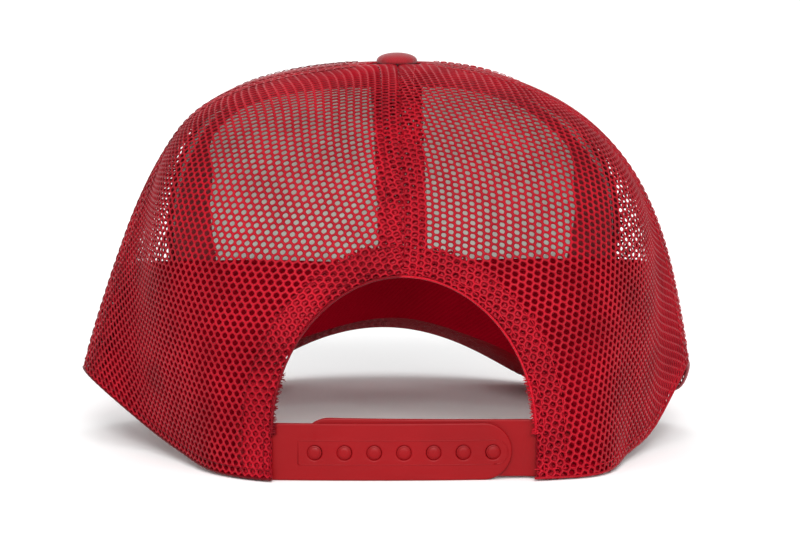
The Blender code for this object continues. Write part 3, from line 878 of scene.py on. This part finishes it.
def net_piece(name, parts, material, *nodes):
    """One object of several nets, with the place across the strand kept for the yarn's material, which
    paints a highlight on the crests and shade on the sides from it.
    """
    points = np.concatenate([part[0] for part in parts])
    ridge = np.concatenate([part[2] for part in parts])
    faces = []
    start = 0
    for part in parts:
        faces.append(part[1] + start)
        start += len(part[0])
    cloth = np.stack((ridge, np.zeros(len(ridge))), -1)
    made = piece(name, points, np.concatenate(faces), material, "crown", cloth)
    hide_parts(*nodes)


def beside(seam, shift, least_radius=14):
    """A line beside a seam, shift mm round the crown from it, nearer where the crown is narrow."""

    def line(rise):
        azimuth = seam(rise)
        return azimuth + np.degrees(shift / radius_of(crown_surface(azimuth, rise), least_radius))

    return line


GORES = {
    "rear_left": Gore(centre_seam, side_seam, 0),
    "rear_right": Gore(other_side(side_seam), centre_seam, -14),
    "side_left": Gore(side_seam, front_seam, 6),
    "side_right": Gore(other_side(front_seam), other_side(side_seam), -4),
}


def build_nets():
    for name, gore in GORES.items():
        kind, side = name.split("_")
        part = net(gore, 0.0, (0.0, 0.3), everywhere, arched=kind == "rear")
        net_piece(f"{kind}_net_{side}", [part], "net", f"{kind}_mesh_{side}")


def band_net(strip, keep, arched):
    """Two more layers of net behind a seam or an edge."""
    parts = []
    for index, layer in enumerate(BAND_LAYERS):
        phase = (0.42 + 0.31 * index, 0.85 + 0.4 * index)
        parts.append(net(strip, layer, phase, keep, arched, BAND_HOLE_SHARE))
    return parts


def seam_strip(seam):
    return Gore(beside(seam, -BAND_HALF_WIDTH), beside(seam, BAND_HALF_WIDTH), 4)


def build_bands():
    """The seam allowances, and the facing round the arch."""
    parts = band_net(seam_strip(centre_seam), clear_of_arch, True)
    net_piece("back_seam_net", parts, "band_net", "back_seam_band")
    for name, seam, _ in both_sides(side_seam):
        parts = band_net(seam_strip(seam), everywhere, False)
        net_piece(f"side_seam_net_{name}", parts, "band_net", f"side_seam_band_{name}")
    parts = band_net(Gore(other_side(side_seam), side_seam, 7), round_arch, True)
    net_piece("arch_facing_net", parts, "band_net", "arch_facing")


def arch_path(out, low):
    """x and z along the arch, out from its edge, from height low on its +X leg to its -X leg."""
    leg = np.linspace(low, ARCH_SPRING_Z, 14)[:-1]
    angle = np.linspace(0, math.pi, 160)
    x = ARCH_HALF_WIDTH * np.cos(angle)
    z = ARCH_HEIGHT * np.sin(angle)
    normal = unit(np.stack((x / ARCH_HALF_WIDTH**2, z / ARCH_HEIGHT**2), -1))
    x = x + out * normal[:, 0]
    z = ARCH_SPRING_Z + z + out * normal[:, 1]
    side = np.full(len(leg), ARCH_HALF_WIDTH + out)
    return np.concatenate((side, x, -side)), np.concatenate((leg, z, leg[::-1]))


def on_back(x, z, offset):
    """Points and outward directions on the crown's back."""
    azimuth, rise = back_place(x, z)
    return crown(azimuth, rise, offset), crown_normal(azimuth, rise)


def build_arch_edge():
    x, z = arch_path(-0.1, 27)
    path, out = on_back(x[10:-10], z[10:-10], -0.5)
    tubes("arch_bound_edge", [path], [0.42], [out], 10, "edge", "crown", flatten=1.6)
    rows = []
    for distance in ARCH_STITCH_DISTANCES:
        x, z = arch_path(distance, 2.0)
        rows.append(on_back(x, z, TOPSTITCH_LIFT))
    stitches("arch_topstitching", rows, "crown")


def build_frays():
    """Cut net ends that stick out of the arch's legs above the strap."""
    random = np.random.default_rng(7)
    for name, side in (("left", 1), ("right", -1)):
        paths = []
        ups = []
        radii = []
        for _ in range(FRAY_COUNT):
            z = random.uniform(*FRAY_HEIGHTS)
            x = math.sqrt(1 - (max(z - ARCH_SPRING_Z, 0) / ARCH_HEIGHT) ** 2) * ARCH_HALF_WIDTH
            root, out = on_back(side * (x + 0.5), z, random.uniform(-1.2, 0.3))
            reach = random.uniform(0.9, 2.3)
            lean = np.array([-side * reach, random.uniform(-0.5, 0.5), random.uniform(-0.7, 0.7)])
            curl = np.array([0, random.uniform(-0.4, 0.4), random.uniform(-0.5, 0.5)])
            share = np.linspace(0, 1, 4)[:, None]
            paths.append(root + lean * share + curl * share**2)
            ups.append(np.tile(out, (4, 1)))
            radii.append(random.uniform(0.12, 0.24) * np.array([1.2, 1.0, 0.8, 0.45]))
        tubes(f"arch_frayed_ends_{name}", paths, radii, ups, 5, "edge", "crown")


def build_hem():
    """The folded edge along the bottom of the net, on both sides from the arch's leg to the visor."""
    leg_azimuth = float(back_place(ARCH_HALF_WIDTH, 0.5)[0])
    paths = []
    ups = []
    rows = []
    for side in (1, -1):
        azimuth = side * np.linspace(leg_azimuth, HEM_END_AZIMUTH, 120)
        paths.append(crown(azimuth, 0.002, -0.1))
        ups.append(crown_normal(azimuth, np.full(120, 0.01)))
        rise = rise_at(azimuth, crown_surface(azimuth, 0.0)[:, 2] + HEM_STITCH_RISE)
        rows.append((crown(azimuth, rise, TOPSTITCH_LIFT), crown_normal(azimuth, rise)))
    tubes("hem_binding", paths, [0.42, 0.42], ups, 8, "hem", "crown", flatten=1.5)
    stitches("hem_topstitching", rows, "crown")


def stitch_seam(name, seam, shifts, low, lift):
    """Rows of stitches along a seam, each shifted round the crown from it."""
    rise = np.linspace(low, TOPSTITCH_TOP_RISE, 120)
    rows = []
    for shift in shifts:
        azimuth = beside(seam, shift, 8)(rise)
        rows.append((crown(azimuth, rise, lift), crown_normal(azimuth, rise)))
    stitches(name, rows, "crown")


def build_seam_stitching():
    arch_top = float(rise_at(0.0, ARCH_SPRING_Z + ARCH_HEIGHT + 1.5))
    stitch_seam("back_seam_topstitching", centre_seam, BAND_STITCH_SHIFTS, arch_top, TOPSTITCH_LIFT)
    for name, seam, _ in both_sides(side_seam):
        stitch_seam(f"side_seam_topstitching_{name}", seam, BAND_STITCH_SHIFTS, 0.03, TOPSTITCH_LIFT)
    for name, seam, _ in both_sides(front_seam):
        stitch_seam(f"front_seam_topstitching_{name}", seam, TAPE_STITCH_SHIFTS, 0.02, 0.55)


# ---------------------------------------------------------------- cloth pieces of the crown


def front_place(inset, bottom, top, middle):
    """place function of a sheet over the front panel."""

    def place(u, v, lift):
        rise = bottom + v * (top - bottom)
        left = front_seam(rise)
        span = 360 - 2 * left
        edge = np.degrees(inset / radius_of(crown_surface(left, rise), 5))
        azimuth = left + edge + u * (span - 2 * edge)
        return crown(azimuth, rise, middle + lift)

    return place


def build_front_panel():
    place = front_place(*FRONT_OUTER_LAYER)
    outer = cloth_sheet("front_panel_outer", place, 120, 70, 0.3, "front", "crown")
    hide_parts("front_panel_fabric")
    place = front_place(*FRONT_LINING_LAYER)
    lining = cloth_sheet("front_panel_lining", place, 100, 60, 1.0, "foam", "crown")
    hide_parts("front_panel_foam")


def tape_place(seam, side):
    """place function of the tape on the front panel's side of its seam."""

    def place(u, v, lift):
        rise = TAPE_BOTTOM + v * (TAPE_TOP - TAPE_BOTTOM)
        run = u * smooth_through(TAPE_FOLD, 1, rise)
        turn = np.radians(smooth_through(TAPE_FOLD, 2, rise))
        thick = lift + TAPE_CROWN * (1 - (2 * u - 1) ** 2)
        shift = side * (run * np.cos(turn) + thick * np.sin(turn))
        inward = run * np.sin(turn) - thick * np.cos(turn)
        return crown(beside(seam, shift, 1)(rise), rise, TAPE_DEPTH - inward)

    return place


def build_tapes():
    for name, seam, side in both_sides(front_seam):
        place = tape_place(seam, side)
        tape = cloth_sheet(f"front_tape_{name}", place, 15, 110, 0.28, "tape", "crown")
        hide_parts(f"front_seam_tape_{name}")


def sweatband_top(azimuth):
    away = np.abs((azimuth + 180) % 360 - 180)
    return smooth_through(SWEATBAND_TOP, 1, away)


def build_sweatband():
    span = 360 - 2 * SWEATBAND_START

    def place(u, v, lift):
        azimuth = SWEATBAND_START + u * span
        low = crown_surface(azimuth, 0)[..., 2] + 0.5
        height = low + v * (sweatband_top(azimuth) - low)
        loose = eased(np.clip((height - low) / SWEATBAND_EDGE_HEIGHT, 0, 1))
        front = np.clip((60 - np.abs(azimuth - 180)) / 12, 0, 1)
        edge_rise = SWEATBAND_EDGE_RISE - SWEATBAND_FRONT_LOSS * front
        ripple = SWEATBAND_RIPPLE * np.sin(azimuth * 0.9) * v
        depth = SWEATBAND_DEPTH + edge_rise * (1 - loose) + ripple
        return crown(azimuth, rise_at(azimuth, height), depth + lift)

    band = cloth_sheet("sweatband_cloth", place, 260, 26, 0.4, "sweatband", "crown")
    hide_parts("sweatband")
    u = np.linspace(0.002, 0.998, 260)
    azimuth = SWEATBAND_START + u * span
    out = crown_normal(azimuth, rise_at(azimuth, sweatband_top(azimuth)))
    tubes("sweatband_piping", [place(u, 1.0, 0.0)], [0.8], [out], 10, "sweatband", "crown")
    stitches("sweatband_stitching", [(place(u, 0.9, -0.4), -out)], "crown")


def build_visor_allowance():
    def place(u, v, lift):
        azimuth = 180 + (2 * u - 1) * ALLOWANCE_HALF_AZIMUTH
        low = crown_surface(azimuth, 0)[..., 2] + 1
        return crown(azimuth, rise_at(azimuth, low + v * ALLOWANCE_HEIGHT), ALLOWANCE_DEPTH + lift)

    strip = cloth_sheet("visor_allowance_tape", place, 60, 8, 0.28, "tape", "crown")
    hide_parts("visor_seam_allowance")


def build_button():
    """Covered button: a low dome whose cover is drawn in at the rim, sunk into the top of the net."""
    lowest, highest = (np.array(corner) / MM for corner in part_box("top_button"))
    radius = (highest[0] - lowest[0]) / 2
    foot = CROWN_TOP - BUTTON_SINK
    dome = highest[2] - foot - BUTTON_RIM
    profile = [(radius - 0.9, foot), (radius - 0.2, foot + 0.2), (radius, foot + 0.6)]
    for i in range(14):
        angle = math.pi / 2 * (1 - i / 14)
        profile.append((radius * math.sin(angle), foot + BUTTON_RIM + dome * math.cos(angle) ** 0.9))
    turn = np.linspace(0, 2 * math.pi, BUTTON_SIDES, endpoint=False)
    points = []
    cloth = []
    for r, z in profile:
        gathered = r + BUTTON_GATHER_DEPTH * np.cos(turn * BUTTON_GATHERS) * (r / radius) ** 6
        y = CROWN_CENTRE_Y + gathered * np.sin(turn)
        points.append(np.stack((gathered * np.cos(turn), y, np.full(BUTTON_SIDES, z)), -1))
        cloth.append(np.stack((r * np.cos(turn), r * np.sin(turn)), -1))
    points = np.concatenate(points + [[(0, CROWN_CENTRE_Y, highest[2])]])
    cloth = np.concatenate(cloth + [[(0, 0)]])
    faces = tube_faces(len(profile), BUTTON_SIDES, 0)
    rim = faces.pop()
    faces.extend([corner, after, len(points) - 1] for corner, after in zip(rim, rim[1:] + rim[:1]))
    made = piece("button_cover", points, faces, "button", "crown", cloth, crease=60)
    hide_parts("top_button")


# ---------------------------------------------------------------- visor


def visor_height(x, y):
    """Height of the visor's middle layer: a sloping arch that levels out at its resting height."""
    arch = VISOR_SEAM_Z + (y - VISOR_SEAM_Y) * VISOR_SLOPE + VISOR_ROLL * x - VISOR_ARCH * x * x
    above = arch - VISOR_REST_Z
    return VISOR_REST_Z + (above + np.hypot(above, VISOR_REST_BLEND)) / 2


def visor_place(across, out, lift):
    """Points of the visor. across is -1 to 1 from horn to horn, out is 0 at the crown and 1 at the edge."""
    across, out, lift = np.broadcast_arrays(across, out, np.asarray(lift, float))
    inner = crown(180 - across * (180 - VISOR_HORN_AZIMUTH), 0.0, VISOR_INNER_OFFSET)
    horn = crown(np.copysign(VISOR_HORN_AZIMUTH, across), 0.0, VISOR_INNER_OFFSET + VISOR_HORN_WIDTH)
    horn_angle = math.pi - np.arcsin(np.minimum(np.abs(horn[..., 0]) / VISOR_HALF_WIDTH, 1))
    angle = np.abs(across) * horn_angle
    forward = np.cos(angle)
    back_reach = (horn[..., 1] - VISOR_WIDEST_Y) / -np.cos(horn_angle)
    reach = np.where(forward < 0, back_reach, VISOR_WIDEST_Y - VISOR_TIP_Y)
    edge_x = np.copysign(VISOR_HALF_WIDTH * np.sin(angle), across)
    edge_y = VISOR_WIDEST_Y - reach * forward
    x = inner[..., 0] + out * (edge_x - inner[..., 0])
    y = inner[..., 1] + out * (edge_y - inner[..., 1])
    sewn = inner[..., 2] + VISOR_SEWN_RISE - visor_height(inner[..., 0], inner[..., 1])
    away = np.hypot(x - inner[..., 0], y - inner[..., 1])
    z = visor_height(x, y)
    upward = unit(np.stack((z - visor_height(x + 1, y), z - visor_height(x, y + 1), np.ones_like(z)), -1))
    z = z + sewn * np.exp(-((away / VISOR_SEWN_REACH) ** 2))
    return np.stack((x, y, z), -1) + upward * lift[..., None]


def visor_sheet(name, node, level, half_thickness, material, span=(0.0, 1.0)):
    """A layer of the visor. span is where it starts and ends between the crown and the visor's edge."""
    inner, outer = span

    def place(u, v, lift):
        return visor_place(2 * u - 1, inner + v * (outer - inner), level + lift)

    made = cloth_sheet(name, place, 140, 36, half_thickness, material, None)
    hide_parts(node)
    return made


def visor_board():
    half = VISOR_BOARD_HALF
    span = VISOR_BOARD_SPAN
    return visor_sheet("visor_stiffener", "visor_board", 0.0, half, "board", span)


def visor_cloth(name, node, level, material):
    return visor_sheet(name, node, level, VISOR_CLOTH_HALF, material)


def visor_line(out, reach=1.0, level=0.0, away=1.0):
    """A line across the visor from horn to horn, and directions away from the visor's middle layer."""
    across = np.linspace(-reach, reach, VISOR_COLUMNS)
    path = visor_place(across, out, level)
    return path, unit(visor_place(across, out, level + away) - path)


def visor_cord(name, out, radius, material, flatten):
    path, up = visor_line(out)
    return tubes(name, [path], [radius], [up], 12, material, None, flatten)


def visor_stitching(name, away, **looks):
    rows = []
    for k in range(VISOR_STITCH_ROWS):
        share = VISOR_FIRST_STITCH_ROW - VISOR_STITCH_PITCH * k
        rows.append(visor_line(share, 0.985, away * VISOR_STITCH_LEVEL, away))
    return stitches(name, rows, None, **looks)


def build_visor():
    pieces = [
        visor_board(),
        visor_cloth("visor_upper_cloth", "visor_upper_fabric", VISOR_CLOTH_LEVEL, "visor_top"),
        visor_cloth("visor_lining_cloth", "visor_under_fabric", -VISOR_CLOTH_LEVEL, "visor_under"),
        visor_cord("visor_edge_binding", 0.995, 1.0, "binding", 1.75),
        visor_stitching("visor_stitching_upper", 1.0),
        visor_stitching("visor_stitching_lower", -1.0, radius=0.12, lift=0.05, material="lining_thread"),
        visor_cord("visor_seam_lip", 0.012, 0.9, "visor_under", 1.95),
    ]
    for made in pieces:
        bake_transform(made)


# ---------------------------------------------------------------- snap closure


def strap_middle_y(x, depth):
    return STRAP_BACK_Y - depth - STRAP_THICKNESS / 2 - x * x / (2 * STRAP_BOW_RADIUS)


def rounded_outline(root_x, end_x, low, high):
    """A strap's outline in x and z, with a round free end."""
    side = math.copysign(1, root_x - end_x)
    half = (high - low) / 2
    middle = (high + low) / 2
    angle = np.linspace(-math.pi / 2, math.pi / 2, 40)
    x = end_x + side * half - side * half * np.cos(angle)
    z = middle + half * np.sin(angle)
    return np.concatenate(([root_x], x, [root_x])), np.concatenate(([low], z, [high]))


def circle(x, z, radius):
    angle = np.linspace(0, 2 * math.pi, 32, endpoint=False)
    return x + radius * np.cos(angle), z + radius * np.sin(angle)


def moulded_plate(name, outlines, edge):
    """A flat moulding with rounded edges from outlines in x and z, cut across so that it can bend."""
    curve = bpy.data.curves.new(name + "_outline", "CURVE")
    curve.dimensions = "2D"
    curve.fill_mode = "BOTH"
    curve.extrude = (STRAP_THICKNESS / 2 - edge) * MM
    curve.bevel_depth = edge * MM
    curve.bevel_resolution = 3
    curve.offset = -edge * MM
    for x, z in outlines:
        spline = curve.splines.new("POLY")
        spline.points.add(len(x) - 1)
        flat = np.stack((x * MM, z * MM, np.zeros(len(x)), np.ones(len(x))), -1)
        spline.points.foreach_set("co", flat.ravel())
        spline.use_cyclic_u = True
    guide = bpy.data.objects.new(name + "_outline", curve)
    bpy.context.scene.collection.objects.link(guide)
    mesh = bpy.data.meshes.new_from_object(guide.evaluated_get(bpy.context.evaluated_depsgraph_get()))
    bpy.data.objects.remove(guide)
    solid = bmesh.new()
    solid.from_mesh(mesh)
    bpy.data.meshes.remove(mesh)
    bmesh.ops.remove_doubles(solid, verts=solid.verts, dist=0.002 * MM)
    low = min(vertex.co.x for vertex in solid.verts)
    high = max(vertex.co.x for vertex in solid.verts)
    for cut in np.arange(low + STRAP_CUT_STEP * MM, high, STRAP_CUT_STEP * MM):
        everything = solid.verts[:] + solid.edges[:] + solid.faces[:]
        bmesh.ops.bisect_plane(solid, geom=everything, plane_co=(cut, 0, 0), plane_no=(1, 0, 0), dist=1e-7)
    bmesh.ops.recalc_face_normals(solid, faces=solid.faces)
    return solid


def tab_y(x):
    """Where the strap's sewn root lies behind the net."""
    azimuth, rise = back_place(x, np.full(np.shape(x), TAB_HEIGHT))
    return crown(azimuth, rise, TAB_OFFSET)[..., 1]


TAB_X = np.concatenate((np.arange(-56.0, -35.0), np.arange(36.0, 57.0)))
TAB_Y = tab_y(TAB_X)


def strap_y(x, depth):
    near, far = STRAP_ROOT_BEND
    share = eased(np.clip((np.abs(x) - near) / (far - near), 0, 1))
    return strap_middle_y(x, depth) * (1 - share) + np.interp(x, TAB_X, TAB_Y) * share


def bowed(points, depth):
    """Flat moulding points (x, z, out) laid on the strap's bow."""
    x, z, out = points[:, 0], points[:, 1], points[:, 2]
    slope = (strap_y(x + 0.1, depth) - strap_y(x - 0.1, depth)) / 0.2
    size = np.hypot(slope, 1)
    return np.stack((x - slope / size * out, strap_y(x, depth) + out / size, z), -1)


def strap_object(name, solid, depth):
    points = np.array([vertex.co for vertex in solid.verts]) / MM
    placed = metres(bowed(points, depth))
    for vertex, place in zip(solid.verts, placed):
        vertex.co = place
    bmesh.ops.recalc_face_normals(solid, faces=solid.faces)
    mesh = bpy.data.meshes.new(name)
    solid.to_mesh(mesh)
    solid.free()
    return dressed(mesh, "strap", crease=35)


def peg_spots():
    return [(i - (PEG_COUNT - 1) / 2) * PEG_PITCH for i in range(PEG_COUNT)]


def build_straps():
    root = STRAP_ROOT_X
    inner_depth = STRAP_THICKNESS + STRAP_GAP
    outlines = [rounded_outline(root, FEMALE_STRAP_END_X, 0.0, STRAP_HEIGHT)]
    for x in peg_spots():
        outlines.append(circle(x, PEG_Z, HOLE_RADIUS))
    female = strap_object("snap_strap_with_holes", moulded_plate("female", outlines, STRAP_EDGE), 0)
    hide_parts("strap_female", "strap_tab_female")
    low, high = MALE_STRAP_LIFT, MALE_STRAP_LIFT + STRAP_HEIGHT
    x, z = rounded_outline(-root, MALE_STRAP_END_X, low, high)
    plate = moulded_plate("male", [(x, z + MALE_STRAP_TILT * x)], STRAP_EDGE)
    male = strap_object("snap_strap_with_pegs", plate, inner_depth)
    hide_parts("strap_male", "strap_tab_male")
    blend_strap(female)
    blend_strap(male)
    build_pegs(inner_depth)
    build_strap_bead()


def blend_strap(made):
    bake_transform(made)


def build_pegs(inner_depth):
    """Round pegs with a domed head, one in each hole."""
    turn = np.linspace(0, 2 * math.pi, PEG_SIDES, endpoint=False)
    rings = []
    faces = []
    for x in peg_spots():
        faces.extend(tube_faces(len(PEG_PROFILE), PEG_SIDES, len(rings) * PEG_SIDES))
        for radius, out in PEG_PROFILE:
            across = x + radius * np.cos(turn)
            flat = np.stack((across, PEG_Z + radius * np.sin(turn), np.full(PEG_SIDES, out)), -1)
            rings.append(bowed(flat, inner_depth))
    mesh = mesh_of("snap_pegs", np.concatenate(rings), faces)
    solid = bmesh.new()
    solid.from_mesh(mesh)
    bmesh.ops.recalc_face_normals(solid, faces=solid.faces)
    solid.to_mesh(mesh)
    solid.free()
    dressed(mesh, "strap", "strap_male", crease=45)


def build_strap_bead():
    """The raised outline round the row of holes."""
    half = BEAD_HALF_HEIGHT
    left, right = BEAD_ENDS
    angle = np.linspace(-math.pi / 2, math.pi / 2, 16)
    x = np.concatenate((np.linspace(right, left + half, 60), left + half - half * np.cos(angle)))
    z = np.concatenate((np.full(60, PEG_Z - half), PEG_Z + half * np.sin(angle)))
    x = np.concatenate((x, np.linspace(left + half, right, 60), [right, right]))
    z = np.concatenate((z, np.full(60, PEG_Z + half), [PEG_Z + half / 2, PEG_Z - half + 0.3]))
    path = bowed(np.stack((x, z, np.full(len(x), STRAP_THICKNESS / 2 - 0.02)), -1), 0)
    up = (0.0, 1.0, 0.0)
    tubes("strap_outline_bead", [path], [0.2], [up], 8, "strap", "strap_female", 0.7)


# ---------------------------------------------------------------- stage


CAMERA_PLACE = (34.0, 1312.5, 212.0)
CAMERA_PITCH = 6.79
CAMERA_LENS = 171.2
CAMERA_AIM = (1.26, 112.5)
WORLD_STRENGTH = 0.42
# name, strength, spread in degrees, direction it comes from
LIGHTS = (
    ("soft_light_above", 1.25, 55, (0.0, 0.5, 1.5)),
    ("soft_light_behind", 1.75, 14, (0.0, 1.5, 0.75)),
    ("soft_light_left", 0.65, 24, (0.45, 1.5, 0.62)),
    ("soft_light_right", 1.05, 24, (-0.45, 1.5, 0.62)),
    ("soft_light_front", 0.45, 40, (0.3, -1.5, 0.9)),
)


def build_camera():
    data = bpy.data.cameras.new("camera")
    data.lens = CAMERA_LENS
    data.sensor_width = 36
    camera = bpy.data.objects.new("camera", data)
    bpy.context.scene.collection.objects.link(camera)
    camera.location = metres(CAMERA_PLACE)[0]
    yaw = math.atan2(CAMERA_AIM[0] - CAMERA_PLACE[0], CAMERA_PLACE[1] - CAMERA_AIM[1])
    camera.rotation_euler = (math.radians(90 - CAMERA_PITCH), 0, math.pi + yaw)
    bpy.context.scene.camera = camera


def build_light(name, strength, spread, place):
    """A far, wide soft light, even over the whole table."""
    data = bpy.data.lights.new(name, "SUN")
    data.energy = strength
    data.angle = math.radians(spread)
    light = bpy.data.objects.new(name, data)
    bpy.context.scene.collection.objects.link(light)
    light.location = place
    light.rotation_euler = (-Vector(place)).to_track_quat("-Z", "Y").to_euler()


def build_stage():
    floor = piece(
        "table",
        [(-9000, -9000, -0.05), (9000, -9000, -0.05), (9000, 9000, -0.05), (-9000, 9000, -0.05)],
        [(0, 1, 2, 3)],
        "floor",
        None,
    )
    world = bpy.data.worlds.new("studio")
    bpy.context.scene.world = world
    world.use_nodes = True
    sky = world.node_tree.nodes["Background"]
    sky.inputs["Color"].default_value = (1, 1, 1, 1)
    rays = world.node_tree.nodes.new("ShaderNodeLightPath")
    shown = world.node_tree.nodes.new("ShaderNodeMapRange")
    shown.inputs["To Min"].default_value = WORLD_STRENGTH
    world.node_tree.links.new(rays.outputs["Is Camera Ray"], shown.inputs["Value"])
    world.node_tree.links.new(shown.outputs["Result"], sky.inputs["Strength"])
    for name, strength, spread, place in LIGHTS:
        build_light(name, strength, spread, place)
    bpy.context.scene.view_settings.view_transform = "Standard"


def dress_prong():
    """The prong's CAD solid stays visible and gets its finished material."""
    prong = bpy.data.objects["button_prong"]
    prong.data.materials.clear()
    prong.data.materials.append(MATERIALS["steel"])


build_nets()
build_bands()
build_arch_edge()
build_frays()
build_hem()
build_seam_stitching()
build_front_panel()
build_tapes()
build_sweatband()
build_visor_allowance()
build_button()
build_visor()
build_straps()
dress_prong()
build_camera()
build_stage()
